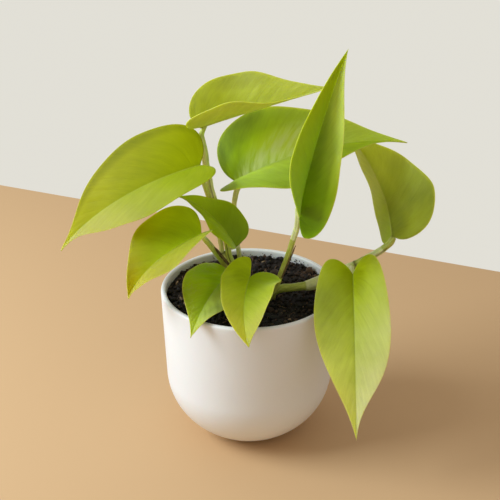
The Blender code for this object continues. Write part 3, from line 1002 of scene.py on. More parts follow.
class Bar:
    """A round bar with a groove, along a smooth path with a radius at each point."""

    def __init__(self, spots: np.ndarray, sides: int = 24, step: float = 0.9,
                 hint: Point = (0.0, 0.0, 1.0), groove: float = 0.0) -> None:
        """Smooth the path and set its frames.

        Args:
            spots: points and radii, n by 4.
            sides: points round the bar.
            step: spacing of the rings.
            hint: the up direction at the start, where the groove lies.
            groove: depth of the groove, as a share of the radius.
        """
        path = smooth_path(spots, step)
        self.middle, self.radii = path[:, :3], path[:, 3]
        self.across, self.up = path_frames(self.middle, hint)
        self.sides = sides
        self.groove = groove
        self.turns = np.linspace(0, 2 * np.pi, sides, endpoint=False)
        run = np.linalg.norm(np.diff(self.middle, axis=0), axis=1)
        self.run = np.concatenate([(0.0,), np.cumsum(run)])

    def channel(self) -> np.ndarray:
        """How deep in the groove each point round the bar is, from 0 to 1."""
        away = np.abs((self.turns - np.pi / 2 + np.pi) % (2 * np.pi) - np.pi)
        return np.exp(-(away / 0.42)**2)

    def shell(self) -> tuple[np.ndarray, list[tuple[int, ...]]]:
        """The bar's surface with round ends.

        Returns:
            Its points, n by 3, and its faces.
        """
        ridge = np.exp(-((np.abs((self.turns - np.pi / 2 + np.pi) % (2 * np.pi) - np.pi) - 0.8)
                         / 0.3)**2)
        shape = 1 - self.groove * self.channel() + 0.35 * self.groove * ridge
        around = self.radii[:, None] * shape[None]
        cos, sin = np.cos(self.turns)[None, :, None], np.sin(self.turns)[None, :, None]
        spread = self.across[:, None] * cos + self.up[:, None] * sin
        rings = self.middle[:, None] + spread * around[..., None]
        ahead = np.cross(self.up, self.across)
        head = rings[-1:] * 0.45 + self.middle[-1] * 0.55 + ahead[-1] * self.radii[-1] * 0.3
        rings = np.concatenate([rings, head])
        rows = len(rings)
        points = np.vstack([rings.reshape(-1, 3), self.middle[0],
                            self.middle[-1] + ahead[-1] * self.radii[-1] * 0.38])
        faces: list[tuple[int, ...]] = grid_faces(rows, self.sides, loop=True)
        start, end, last = rows * self.sides, rows * self.sides + 1, (rows - 1) * self.sides
        for k in range(self.sides):
            m = (k + 1) % self.sides
            faces.append((m, k, start))
            faces.append((last + k, last + m, end))
        return points, faces

    def each_ring(self, values: np.ndarray) -> np.ndarray:
        """Spread one number for each ring over the points of shell()."""
        rows = np.concatenate([values, values[-1:]])
        return np.concatenate([np.repeat(rows, self.sides), values[:1], values[-1:]])

    def each_side(self, values: np.ndarray) -> np.ndarray:
        """Spread one number for each side over the points of shell()."""
        rows = len(self.middle) + 1
        return np.concatenate([np.tile(values, rows), (0.0, 0.0)])

    def skin(self) -> np.ndarray:
        """Coordinates that run slowly along the bar, so that noise on them makes long fibres."""
        spread = self.radii.mean()
        return np.stack([self.each_side(np.cos(self.turns) * spread),
                         self.each_side(np.sin(self.turns) * spread),
                         self.each_ring(self.run * 0.09)], axis=1)


class Tone(Enum):
    """Which finish a stem or a stalk has."""

    STEM = SkinFinish(dark=(0.32, 0.37, 0.04), light=(0.60, 0.64, 0.12),
                      pale=(0.80, 0.80, 0.40), foot=(0.16, 0.13, 0.03))
    STALK = SkinFinish(dark=(0.38, 0.42, 0.05), light=(0.66, 0.70, 0.16),
                       pale=(0.82, 0.83, 0.44), foot=(0.20, 0.17, 0.04))
    # A brighter copy of the stalk skin for stalks that lie in shade: painted light.
    PALE = SkinFinish(dark=(0.64, 0.75, 0.12), light=(0.92, 1.0, 0.30),
                      pale=(0.98, 1.0, 0.52), foot=(0.32, 0.30, 0.08))


@dataclass(frozen=True)
class BarShape:
    """A stem or a stalk: the solid's own points and radii, and where its skin changes.

    The rings are node scars, the wings are paler, sheathed stretches and the brown ones are dull
    and worn, all as shares of the bar's length. A shade line, a dark line of painted shade along the
    bar, also has the turn, in degrees, where it lies.
    A bar that isn't seated ends at its last point, by the leaf's foot.
    """

    name: str
    tone: Tone
    radii: tuple[float, ...]
    points: tuple[Point, ...]
    rings: tuple[float, ...] = ()
    wings: tuple[tuple[float, float], ...] = ()
    shade_lines: tuple[tuple[float, float, float], ...] = ()
    brown: tuple[tuple[float, float], ...] = ()
    groove: float = 0.16
    seated: bool = True


class Stalk:
    """One stem or stalk."""

    def __init__(self, shape: BarShape, seat: tuple[Point, ...] = ()) -> None:
        """Keep the shape.

        Args:
            shape: the bar's points and finish.
            seat: the last points, in and under the blade that the stalk carries.
        """
        self.shape = shape
        self.seat = seat

    def spots(self) -> np.ndarray:
        """Points and radii from the root to the seat.

        Returns:
            The spots, n by 4.
        """
        points = [np.array(point, float) for point in self.shape.points]
        points += [np.array(point, float) for point in self.seat[:1]]
        radii = list(self.shape.radii)
        if len(radii) == 2:
            radii = list(np.linspace(radii[0], radii[1], len(points)))
        spots = [np.append(point, radius) for point, radius in zip(points, radii)]
        if self.shape.tone is not Tone.STEM:
            back = points[0] + (points[0] - points[1]) / np.linalg.norm(points[0] - points[1]) * 1.8
            spots.insert(0, np.append(back, radii[0] * 0.8))
        for point in self.seat[1:]:
            spots.append(np.append(point, radii[-1] * 0.62))
        return np.array(spots)

    def build(self, finish: bpy.types.Material) -> None:
        """Make the bar with its rings, wings and groove.

        Args:
            finish: the skin.
        """
        shape = self.shape
        bar = Bar(self.spots(), groove=shape.groove, hint=(0.2, -0.4, 1.0))
        share = bar.run / bar.run[-1]
        ring = sum((hump(bar.run, place * bar.run[-1], 0.8) for place in shape.rings),
                   np.zeros_like(share))
        bar.radii = bar.radii * (1 + 0.13 * ring)
        bar.radii = bar.radii * (1 + 0.02 * np.sin(bar.run * 0.7))
        wing, brown = np.zeros_like(share), np.zeros_like(share)
        for low, high in shape.wings:
            wing += np.clip((share - low) / 0.006, 0, 1) * np.clip((high - share) / 0.05, 0, 1)
        for low, high in shape.brown:
            brown += np.clip((share - low) / 0.05, 0, 1) * np.clip((high - share) / 0.2, 0, 1)
        if shape.tone is Tone.STEM:
            bar.radii = bar.radii + 0.35 * wing
        points, faces = bar.shell()
        # Dark lines of painted shade, one for each entry.
        seam = np.zeros(len(points))
        for low, high, turn in shape.shade_lines:
            along = bar.each_ring(((share > low) & (share < high)).astype(float))
            away = (bar.turns - math.radians(turn) + np.pi) % (2 * np.pi) - np.pi
            seam += along * bar.each_side(hump(away, 0.0, 0.16))
        depth = bar.each_ring(np.clip((98.5 - bar.middle[:, 2]) / 3.5, 0, 1))
        piece = MeshPiece(shape.name + "_skin")
        piece.add(points, faces, skin=bar.skin(), ring=bar.each_ring(ring),
                  wing=bar.each_ring(np.clip(wing, 0, 1)), low=depth, brown=bar.each_ring(brown),
                  groove=bar.each_side(bar.channel()), seam=np.clip(seam, 0, 1))
        piece.build(finish, [shape.name], "stem" if shape.tone is Tone.STEM else "stalk")


@dataclass(frozen=True)
class SheathShape:
    """A dried strip: half width, half thickness and the points along it."""

    name: str
    wide: float
    thick: float
    points: tuple[Point, ...]


class Sheath:
    """A dead sheath, curled across and torn at its end."""

    def __init__(self, shape: SheathShape) -> None:
        """Keep the strip's shape."""
        self.shape = shape

    def build(self, finish: bpy.types.Material) -> None:
        """Make the curled strip.

        Args:
            finish: the dry skin.
        """
        shape = self.shape
        path = smooth_path(np.array(shape.points, float), 0.5)
        across, up = path_frames(path, (0.3, -1.0, 0.2))
        share = np.linspace(0, 1, len(path))
        wide = shape.wide * (1 - 0.75 * share**5) * (0.7 + 0.3 * np.minimum(1, share * 4))
        v = np.linspace(-1, 1, 11)
        torn = 1 + 0.3 * noise_at(path, 1.1, 3.0)
        out = v[None] * (wide * torn)[:, None]
        curl = (1 - v[None]**2) * wide[:, None] * 0.45 - 0.2
        middle = path[:, None] + across[:, None] * out[..., None] + up[:, None] * curl[..., None]
        thick = 0.16 + 0.1 * np.abs(noise_at(path, 2.0, 5.0))[:, None, None]
        front = middle + up[:, None] * thick
        back = middle - up[:, None] * thick
        rows, columns = front.shape[:2]
        points = np.concatenate([front.reshape(-1, 3), back.reshape(-1, 3)])
        faces = grid_faces(rows, columns)
        offset = rows * columns
        faces = [face[::-1] for face in faces] + [tuple(c + offset for c in f) for f in faces]
        border = border_loop(rows, columns)
        for a, b in zip(border, border[1:] + border[:1]):
            faces.append((a, b, b + offset, a + offset))
        skin = np.stack([out, curl, np.broadcast_to((share * 3.0)[:, None], out.shape)], -1)
        rim = np.broadcast_to(np.abs(v)[None], out.shape)
        piece = MeshPiece(shape.name + "_skin")
        piece.add(points, faces, skin=np.tile(skin.reshape(-1, 3), (2, 1)),
                  rim=np.tile(rim.ravel(), 2))
        piece.build(finish, [shape.name], "dried")


def border_loop(rows: int, columns: int) -> list[int]:
    """Numbers of a grid's border points, in order round it.

    Args:
        rows: how many rows.
        columns: how many points in a row.

    Returns:
        The point numbers.
    """
    loop = list(range(columns - 1))
    loop += [row * columns + columns - 1 for row in range(rows - 1)]
    loop += [(rows - 1) * columns + column for column in range(columns - 1, 0, -1)]
    loop += [row * columns for row in range(rows - 1, 0, -1)]
    return loop


@dataclass(frozen=True)
class LeafShape:
    """One leaf: where its midrib starts, how it runs, and the form of its two halves.

    The midrib heads and rises as given at its foot, and bends, hooks, swings and twists over its
    length. Pairs are for the left and the right half: half width, fold up from the midrib, flare
    (fold added near the foot), curl across, lobe length and ear (how far out the lobe's end lies).
    Belly, full and taper shape each side down to the tip, which starts at point.
    """

    name: str
    foot: Point
    heading: float
    rise: float
    length: float
    bend: float
    hook: float
    swing: float
    roll: float
    twist: float
    width: tuple[float, float]
    fold: tuple[float, float]
    flare: tuple[float, float]
    curl: tuple[float, float]
    lobe: tuple[float, float]
    ear: tuple[float, float]
    belly: tuple[float, float]
    full: tuple[float, float]
    taper: tuple[float, float]
    point: float
    finish: LeafFinish
    pucker: float = 0.05
    crease: float = 0.07


BLADE = 0.55              # thickness
MIDRIB = 0.75             # height of the midrib under the blade, at its foot
WAVE = 0.7                # waves along the edge
WAVES = 2.6
ROW_SWEEP = 1.25
RIB_BLEND = 2.5
LEAF_STEPS = 160
LOBE_REACH = 0.3
FLARE_REACH = 0.4
STALK_SEAT = 0.012
SOLID_BLADE = 0.8
SOLID_MIDRIB = 0.6
GAP = 0.3
VEIN_LEAN = 0.12          # how much further forward than the rows the side veins run
VEIN_GRAIN = (30.0, 2.4)  # streaks to a leaf's length, and changes along one from rib to edge


def turned(axis: np.ndarray, angle: float) -> np.ndarray:
    """Rotation matrix about an axis by an angle in radians."""
    return np.array(Matrix.Rotation(angle, 3, Vector(axis)))


def bezier(stations: Sequence[tuple[float, float]], t: np.ndarray) -> np.ndarray:
    """Points of a cubic curve.

    Args:
        stations: its four control points.
        t: places from 0 to 1.

    Returns:
        The points, n by 2.
    """
    p0, p1, p2, p3 = (np.array(station, float) for station in stations)
    t = t[:, None]
    s = 1 - t
    return s**3 * p0 + 3 * s * s * t * p1 + 3 * s * t * t * p2 + t**3 * p3


class Leaf:
    """One leaf blade, with its veins, waves and thickness."""

    def __init__(self, shape: LeafShape) -> None:
        """Work out the midrib's frames.

        Args:
            shape: the leaf's form.
        """
        self.shape = shape
        heading, rise = math.radians(shape.heading), math.radians(shape.rise)
        forward = np.array((math.cos(rise) * math.cos(heading), math.cos(rise) * math.sin(heading),
                            math.sin(rise)))
        right = np.array((math.sin(heading), -math.cos(heading), 0.0))
        right = turned(forward, -math.radians(shape.roll)) @ right
        first = np.stack([forward, right, np.cross(right, forward)], axis=1)
        behind = self._march(first, -LOBE_REACH)
        ahead = self._march(first, 1.0)
        line = behind[:0:-1] + ahead
        self.shares = np.array([share for share, _, _ in line])
        self.spots = np.array([spot for _, spot, _ in line])
        self.axes = np.array([axes for _, _, axes in line])

    def _march(self, axes: np.ndarray, reach: float) -> list[tuple[float, np.ndarray, np.ndarray]]:
        """Follow the midrib from its foot.

        Args:
            axes: forward, right and up at the foot, as columns.
            reach: how far, as a share of the length; below 0 for behind the foot.

        Returns:
            Share, point and axes at each step.
        """
        shape = self.shape
        spot = np.array(shape.foot, float)
        steps = max(1, round(LEAF_STEPS * abs(reach)))
        line = [(0.0, spot, axes)]
        stride = reach / steps
        for i in range(steps):
            middle = (i + 0.5) * stride
            bend = shape.bend + 3 * shape.hook * max(middle, 0.0)**2
            turn = np.radians((shape.twist, -bend, -shape.swing)) * stride
            angle = float(np.linalg.norm(turn))
            half = axes @ turned(turn, angle / 2)
            spot = spot + half[:, 0] * stride * shape.length
            axes = axes @ turned(turn, angle)
            line.append(((i + 1) * stride, spot, axes))
        return line

    def at(self, share: np.ndarray) -> tuple[np.ndarray, np.ndarray, np.ndarray]:
        """Points, right axes and up axes on the midrib.

        Args:
            share: places along the length.

        Returns:
            The three arrays, each with a last axis of 3.
        """
        def read(table: np.ndarray) -> np.ndarray:
            """One table at those places."""
            columns = [np.interp(share, self.shares, table[:, k]) for k in range(3)]
            return np.stack(columns, axis=-1)
        return read(self.spots), read(self.axes[:, :, 1]), read(self.axes[:, :, 2])

    def outline(self, side: int) -> tuple[np.ndarray, np.ndarray, np.ndarray]:
        """Edge of one half in the flat.

        Args:
            side: 0 for the left half, 1 for the right.

        Returns:
            Edge points, the midrib share where each row starts, and the vein coordinate.
        """
        shape = self.shape
        length, width, lobe = shape.length, shape.width[side], shape.lobe[side]
        ear, belly = shape.ear[side] * width, (shape.belly[side] * length, width)
        notch, back, front = np.arange(14) / 14, np.arange(20) / 20, np.linspace(0, 1, 78)
        edge = np.vstack([
            bezier(((0, 0), (-0.3 * lobe, 0.17 * ear), (-lobe, 0.48 * ear), (-lobe, ear)), notch),
            bezier(((-lobe, ear), (-lobe, 0.38 * ear + 0.62 * width), (0.04 * length, width),
                    belly), back),
            bezier((belly, (shape.full[side] * length, width),
                    (shape.point * length, shape.taper[side] * width), (length, 0)), front)])
        start = np.concatenate([0 * notch, 0.1 * back, 0.1 + 0.9 * (0.75 * front
                                                                    + 0.25 * front**2)])
        flow = np.concatenate([-0.16 + 0.1 * notch, -0.06 + 0.16 * back, start[34:]])
        return edge, start, flow

    def half(self, side: int, v: np.ndarray) -> dict[str, np.ndarray]:
        """Grid of one half.

        Args:
            side: 0 for the left half, 1 for the right.
            v: shares of the way from the midrib to the edge.

        Returns:
            Middle points, up axes and the stored numbers, each with rows first.
        """
        shape = self.shape
        length, width = shape.length, shape.width[side]
        curl = math.radians(shape.curl[side]) / width
        edge, start, flow = self.outline(side)
        root = (start * length)[:, None]
        along = root + (edge[:, :1] - root) * v[None]**ROW_SWEEP
        across = edge[:, 1:] * v[None]
        share = along / length
        near = np.clip(share / FLARE_REACH, 0, 1)
        fold = np.radians(shape.fold[side] + shape.flare[side] * (1 - near)**2 * (1 + 2 * near))
        angle = fold + curl * across
        out = (np.sin(angle) - np.sin(fold)) / curl
        lift = (np.cos(fold) - np.cos(angle)) / curl
        phase = 0.37 * sum(map(ord, shape.name)) + 1.9 * side
        fade = np.sin(np.pi * np.clip(share, 0, 1))
        lift = lift + WAVE * v[None]**2 * fade * np.sin(2 * np.pi * WAVES * share + phase)
        flow = flow[:, None] - VEIN_LEAN * v[None]
        middle = 4 * v * (1 - v)
        lift = lift - shape.pucker * middle**0.7 * np.cos(2 * np.pi * shape.finish.veins * flow)
        spot, right, up = self.at(share)
        way = 1 if side else -1
        points = spot + right * (way * out)[..., None] + up * lift[..., None]
        margin = np.linalg.norm(points - points[:, -1:], axis=-1)
        over = np.broadcast_to(v[None], across.shape)
        vein = np.stack([flow * VEIN_GRAIN[0], over * VEIN_GRAIN[1],
                         np.full(across.shape, 4.0 * side + phase)], axis=-1)
        return {"points": points, "up": up, "across": across, "edge": margin, "over": over,
                "flow": flow, "side": np.full(across.shape, float(side)), "along": share,
                "vein": vein}

    def surface(self) -> dict[str, np.ndarray]:
        """Both halves as one grid, from the left edge to the right edge.

        Returns:
            The same arrays as half().
        """
        t = np.linspace(0, 1, 22)[1:-1]
        v = np.concatenate([(0.0, 0.01, 0.022, 0.04), 0.04 + 0.94 * (0.5 * t**1.2 + 0.5 * t),
                            (0.98, 0.992, 1.0)])
        left, right = self.half(0, v), self.half(1, v)
        joined = {}
        for name in left:
            joined[name] = np.concatenate([left[name][:, :0:-1], right[name]], axis=1)
        joined["side"][:, len(v) - 1] = 0.5
        return joined

    def build(self) -> None:
        """Make the blade: skins above and below, midrib, veins and a thin edge."""
        shape = self.shape
        sheet = self.surface()
        rows, columns = sheet["across"].shape
        points = sheet["points"].reshape(-1, 3)
        same = np.round(points, 4)
        _, firsts, index = np.unique(same, axis=0, return_index=True, return_inverse=True)
        index = index.ravel()
        points = points[firsts]
        kept = {name: sheet[name].reshape(rows * columns, -1)[firsts].squeeze(axis=1)
                for name in ("across", "edge", "over", "flow", "side", "along")}
        kept["vein"] = sheet["vein"].reshape(-1, 3)[firsts]
        up = sheet["up"].reshape(-1, 3)[firsts]
        faces = []
        for quad in grid_faces(rows, columns):
            corners = list(dict.fromkeys(int(index[corner]) for corner in quad))
            if len(corners) > 2:
                faces.append(tuple(corners))
        normals = np.zeros_like(points)
        for face in faces:
            a, b, c = points[face[0]], points[face[1]], points[face[-1]]
            normals[list(face)] += np.cross(b - a, c - a)
        normals *= np.where((normals * up).sum(1) < 0, -1.0, 1.0)[:, None]
        normals /= np.linalg.norm(normals, axis=1)[:, None] + 1e-12
        blend = np.clip(kept["across"] / RIB_BLEND, 0, 1)[:, None]
        way = normals * blend + up * (1 - blend)
        way /= np.linalg.norm(way, axis=1)[:, None]

        share = np.clip(kept["along"], 0, 1)
        thick = BLADE / 2 * (1 - 0.6 * np.clip((kept["over"] - 0.93) / 0.07, 0, 1))
        ridge = MIDRIB * (1 - 0.85 * share) * hump(kept["across"], 0.0, 0.85 - 0.5 * share)
        dent = 0.16 * (1 - 0.7 * share) * hump(kept["across"], 0.0, 0.45)
        line = np.abs((kept["flow"] * shape.finish.veins) % 1.0 - 0.5) * 2
        vein = np.clip((line - 0.75) / 0.25, 0, 1)**2 * np.clip(1.1 - kept["over"], 0, 1)
        vein *= np.clip(kept["across"] / 3.0, 0, 1)
        crumple = noise_at(points, 4.2, shape.heading * 0.1) * shape.crease
        top = points + way * (thick - dent - 0.04 * vein + crumple)[:, None]
        low = points - way * (thick + ridge + 0.06 * vein - crumple)[:, None]

        up_faces = [face if self._faces_up(face, points, up) else face[::-1] for face in faces]
        count = len(points)
        shell = list(up_faces) + [tuple(c + count for c in face[::-1]) for face in up_faces]
        open_edges: dict[tuple[int, int], bool] = {}
        for face in up_faces:
            for a, b in zip(face, face[1:] + face[:1]):
                open_edges[(a, b)] = (b, a) not in open_edges
                if (b, a) in open_edges:
                    open_edges[(b, a)] = False
        shell += [(b, a, a + count, b + count) for (a, b), free in open_edges.items() if free]
        piece = MeshPiece("blade_" + shape.name)
        doubled = {name: np.concatenate([values, values]) for name, values in kept.items()}
        piece.add(np.vstack([top, low]), shell, under=np.repeat((0.0, 1.0), count), **doubled)
        node = "leaf_" + shape.name
        piece.build(shape.finish.material("leaf skin " + shape.name), [node], node)

    @staticmethod
    def _faces_up(face: tuple[int, ...], points: np.ndarray, up: np.ndarray) -> bool:
        """Whether a face's corners run so that it faces the leaf's upper side."""
        a, b, c = points[face[0]], points[face[1]], points[face[-1]]
        return float(np.cross(b - a, c - a) @ up[face[0]]) > 0

    def seat(self, last: Point, radius: float) -> tuple[Point, Point]:
        """Where the leaf's stalk ends.

        Args:
            last: the stalk's last point below the blade.
            radius: the stalk's radius there.

        Returns:
            The solid's own end just under the blade, and a point inside the midrib.
        """
        spot, _, up = self.at(np.array(STALK_SEAT))
        way = spot - np.array(last)
        way /= np.linalg.norm(way)
        tilt = math.sqrt(max(0.0, 1 - float(way @ up)**2))
        under = spot - up * (SOLID_BLADE / 2 + SOLID_MIDRIB + GAP + 0.1 + radius * tilt)
        inside, _, up = self.at(np.array(STALK_SEAT + 2.2 / self.shape.length))
        return tuple(under), tuple(inside - up * 0.7)


# Each half's colours are set to how that half is lit, so they hold painted light and painted shade besides the leaf's
# own colour; the patches are painted light and painted shade.
LEAVES = (
    LeafShape("left", (-29.5, 3.0, 178.5), 181, -16, 111.0, -37, -4.5, 4, 23, 6,
              width=(31.5, 32.0), fold=(19, 24), flare=(7, 11),
              curl=(-18, -3), lobe=(10.0, 5.0), ear=(0.47, 0.38),
              belly=(0.25, 0.28), full=(0.58, 0.63),
              taper=(0.2, 0.18), point=0.71,
              finish=LeafFinish(
                  left=((0.234, 0.277, 0.00451), (0.341, 0.313, 0.0727)),
                  right=((0.233, 0.262, 0.001), (0.323, 0.309, 0.0168)), streak=0.14, shine=0.02, margin=0.02,
                  painted_light_patches=(PaintedLightPatch(1, 0.24, 0.53, 0.25, 0.35, -0.06),
                           PaintedLightPatch(1, 0.4, 1, 0.5, 0.2, -0.32),
                           PaintedLightPatch(1, 0.05, 0.5, 0.2, 0.5, 0.2)))),
    LeafShape("top", (-29.0, 18.0, 197.5), -8, 21.5, 82.0, -6, 7, -1, -9, -21,
              width=(27.5, 28.0), fold=(37, 34), flare=(7, -8),
              curl=(-5, 30), lobe=(5.5, 4.5), ear=(0.35, 0.37),
              belly=(0.25, 0.26), full=(0.52, 0.46),
              taper=(0.3, 0.19), point=0.7,
              finish=LeafFinish(
                  left=((0.26, 0.269, 0.001), (0.438, 0.446, 0.0695)),
                  # The top leaf's underside colour is brightened against the shade it lies in: painted light.
                  right=((0.42, 0.45, 0.05), (0.48, 0.49, 0.1)), under=(0.49, 0.495, 0.137), streak=0.2, shine=0.04,
                  painted_light_patches=(PaintedLightPatch(0, 0.36, 0.85, 0.2, 0.25, -0.2),))),
    LeafShape("back", (-7.5, 14.0, 163.5), 1.5, 32.5, 107.5, -34, -5, -5.5, 0, -6,
              width=(39.5, 32.0), fold=(35, 12), flare=(3, 23),
              curl=(9, -52), lobe=(5.0, 8.5), ear=(0.38, 0.41),
              belly=(0.2, 0.26), full=(0.46, 0.6),
              taper=(0.19, 0.08), point=0.68,
              finish=LeafFinish(
                  left=((0.288, 0.428, 0.00128), (0.408, 0.502, 0.0516)),
                  right=((0.425, 0.58, 0.055), (0.285, 0.375, 0.003)), streak=0.2, gloss=0.46, shine=0.08, painted_sheen=0.72,
                  painted_light_patches=(PaintedLightPatch(0, 0.06, 0.92, 0.2, 0.35, -0.42),
                           PaintedLightPatch(0, 0.34, 0.98, 0.3, 0.22, -0.13),
                           PaintedLightPatch(0, 0.3, 0.3, 0.2, 0.3, 0.5),
                           PaintedLightPatch(1, 0.25, 0.95, 0.5, 0.5, -0.25)))),
    LeafShape("upright", (29.0, -22.0, 158.5), -3, 80.5, 100.5, 2, -1.5, -9.5, -114, 30,
              width=(27.5, 21.0), fold=(47, 48), flare=(21, -5),
              curl=(-2, 12), lobe=(-5.5, 14.5), ear=(0.38, 0.3),
              belly=(0.25, 0.27), full=(0.4, 0.66),
              taper=(0.33, 0.27), point=0.76,
              finish=LeafFinish(
                  left=((0.273, 0.398, 0.0577), (0.294, 0.325, 0.0086)),
                  right=((0.177, 0.321, 0.001), (0.488, 0.593, 0.108)), streak=0.14, shine=0.15, margin=0.25,
                  painted_light_patches=(PaintedLightPatch(1, -0.05, 0.45, 0.13, 0.5, -0.4),
                           PaintedLightPatch(1, 0.22, 0.93, 0.22, 0.22, 0.5),
                           PaintedLightPatch(1, 0.45, 0.15, 0.3, 0.3, -0.2),
                           PaintedLightPatch(1, 0.22, 0.62, 0.2, 0.25, 0.12)))),
    LeafShape("rear_right", (87.5, -1.0, 134.0), 91.5, 45, 74.0, -43, -6, 1.5, -104, -9,
              width=(34.5, 25.5), fold=(23, 11), flare=(0, -4),
              curl=(9, -1), lobe=(5.0, 0.0), ear=(0.36, 0.34),
              belly=(0.24, 0.24), full=(0.43, 0.37),
              taper=(0.12, 0.38), point=0.83,
              finish=LeafFinish(
                  left=((0.12, 0.137, 0.001), (0.681, 0.764, 0.176)),
                  right=((0.27, 0.415, 0.001), (0.74, 0.79, 0.38)), streak=0.14, shine=0.015,
                  painted_light_patches=(PaintedLightPatch(1, 0.55, 0.6, 0.35, 0.6, 0.1),
                           PaintedLightPatch(0, 0.13, 0.1, 0.15, 0.25, -0.15),
                           PaintedLightPatch(0, 0.06, 0.7, 0.15, 0.25, 0.25),
                           PaintedLightPatch(0, 0.35, 0.8, 0.3, 0.4, -0.25),
                           PaintedLightPatch(0, 0.6, 0.6, 0.3, 0.5, 0.2)))),
    LeafShape("hanging", (62.5, -18.0, 116.5), -92.5, -22, 103.0, -56, -0.5, -2, -5, 0,
              width=(21.5, 24.0), fold=(16, 14), flare=(13, 18),
              curl=(-10, -9), lobe=(11.5, 7.5), ear=(0.47, 0.45),
              belly=(0.35, 0.28), full=(0.72, 0.57),
              taper=(0.13, 0.26), point=0.71,
              finish=LeafFinish(
                  left=((0.34, 0.4, 0.001), (0.648, 0.685, 0.292)),
                  right=((0.27, 0.325, 0.001), (0.655, 0.735, 0.15)), streak=0.15, shine=0.04, margin=0.4,
                  painted_light_patches=(PaintedLightPatch(1, 0, 0.8, 0.15, 0.4, 0.35),
                           PaintedLightPatch(0, 0.05, 0.2, 0.12, 0.25, -0.2),
                           PaintedLightPatch(1, 0.3, 0.75, 0.25, 0.4, -0.2)))),
    LeafShape("front", (0.5, -20.0, 115.5), -104, -11.5, 53.5, -19, -13, 20.5, -5, -13,
              width=(21.5, 16.5), fold=(18, 42), flare=(-19, -15),
              curl=(7, -1), lobe=(6.5, 16.0), ear=(0.33, 0.36),
              belly=(0.22, 0.2), full=(0.74, 0.61),
              taper=(0.41, 0.39), point=0.78,
              finish=LeafFinish(
                  left=((0.317, 0.45, 0.00237), (0.403, 0.399, 0.053)),
                  right=((0.466, 0.592, 0.001), (0.494, 0.492, 0.0536)), streak=0.16, veins=7, shine=0.05, margin=0.4,
                  painted_light_patches=(PaintedLightPatch(1, 0.01, 0.26, 0.15, 0.4, -0.2),))),
    LeafShape("front_left", (-13.0, -4.5, 108.0), -112, 9.5, 60.5, -41, -1.5, 2, 2, -6,
              width=(19.5, 21.0), fold=(3, 19), flare=(0, 2),
              curl=(-13, -13), lobe=(6.0, 10.5), ear=(0.42, 0.43),
              belly=(0.26, 0.27), full=(0.52, 0.54),
              taper=(0.26, 0.22), point=0.72,
              finish=LeafFinish(
                  left=((0.229, 0.437, 0.013), (0.45, 0.523, 0.0999)),
                  right=((0.415, 0.711, 0.001), (0.294, 0.351, 0.0191)), streak=0.16, mottle=0.22, net=0.5, shine=0.06, margin=0.6,
                  painted_light_patches=(PaintedLightPatch(1, 0.1, 0.67, 0.2, 0.35, -0.15),
                           PaintedLightPatch(0, 0.4, 0.25, 0.25, 0.45, 0.8),
                           PaintedLightPatch(1, 0.42, 0.6, 0.25, 0.4, 0.35))),
              pucker=0.1, crease=0.35),
    LeafShape("low_left", (-28.5, -15.0, 140.0), 204.5, -6.5, 61.0, -60, -8, -4.5, 3, 15,
              width=(25.5, 27.0), fold=(37, 29), flare=(13, 5),
              curl=(-37, -7), lobe=(3.0, 3.5), ear=(0.5, 0.52),
              belly=(0.27, 0.27), full=(0.62, 0.57),
              taper=(0.27, 0.29), point=0.74,
              finish=LeafFinish(
                  left=((0.242, 0.275, 0.00826), (0.361, 0.315, 0.0408)),
                  right=((0.461, 0.633, 0.0074), (0.27, 0.217, 0.0011)), streak=0.12, veins=8, shine=0.06,
                  painted_light_patches=(PaintedLightPatch(1, 0.3, 0.88, 0.2, 0.3, 0.24),
                           PaintedLightPatch(1, 0.42, 0.35, 0.22, 0.4, -0.16),
                           PaintedLightPatch(1, 0.82, 0.3, 0.15, 0.5, 0.1),
                           PaintedLightPatch(1, 0.1, 0.2, 0.2, 0.3, -0.15)))),
    LeafShape("inner", (-8.5, -2.0, 127.0), 165, 65, 49.5, -53, -5.5, -2.5, 4, 1,
              width=(14.5, 19.0), fold=(22, 24), flare=(18, -4),
              curl=(-40, -3), lobe=(-1.5, 0.0), ear=(0.38, 0.38),
              belly=(0.21, 0.25), full=(0.53, 0.44),
              taper=(0.23, 0.32), point=0.75,
              finish=LeafFinish(
                  left=((0.312, 0.432, 0.0142), (0.343, 0.465, 0.00178)),
                  right=((0.225, 0.32, 0.0115), (0.408, 0.567, 0.0137)), veins=7, shine=0.08,
                  painted_light_patches=(PaintedLightPatch(1, 0.3, 0.3, 0.25, 0.4, -0.12),))),
)

STEMS = (
    BarShape("stem_left", Tone.STEM, (2.6, 2.5, 2.4, 2.2),
             ((-8.5, 18, 68), (-8.5, 18, 96), (-9.8, 17.1, 102), (-11.2, 16.1, 108.6)),
             rings=(0.83, 0.97), groove=0.05),
    BarShape("stem_right", Tone.STEM, (2.2, 2.2, 2.3, 2.6, 2.5, 2.55, 3.05, 3.2, 2.9, 2.6, 2.5, 2.4),
             ((14.3, -7, 68), (14.3, -7, 95.3), (16.7, -7.3, 99.6), (21, -7.8, 101.8),
              (26.5, -8, 102.4), (32.5, -7, 102.8), (37.7, -6, 103.1), (42.7, -5, 104.8),
              (50.1, -3, 107.8), (58.2, -1.5, 111), (63.7, -1, 113.4), (71.5, -1, 118.2)),
             rings=(0.93,), wings=((0.555, 0.93),),
             shade_lines=((0.62, 0.72, 75), (0.64, 0.78, 100), (0.82, 0.93, 95), (0.84, 0.93, 60)),
             groove=0.05),
)

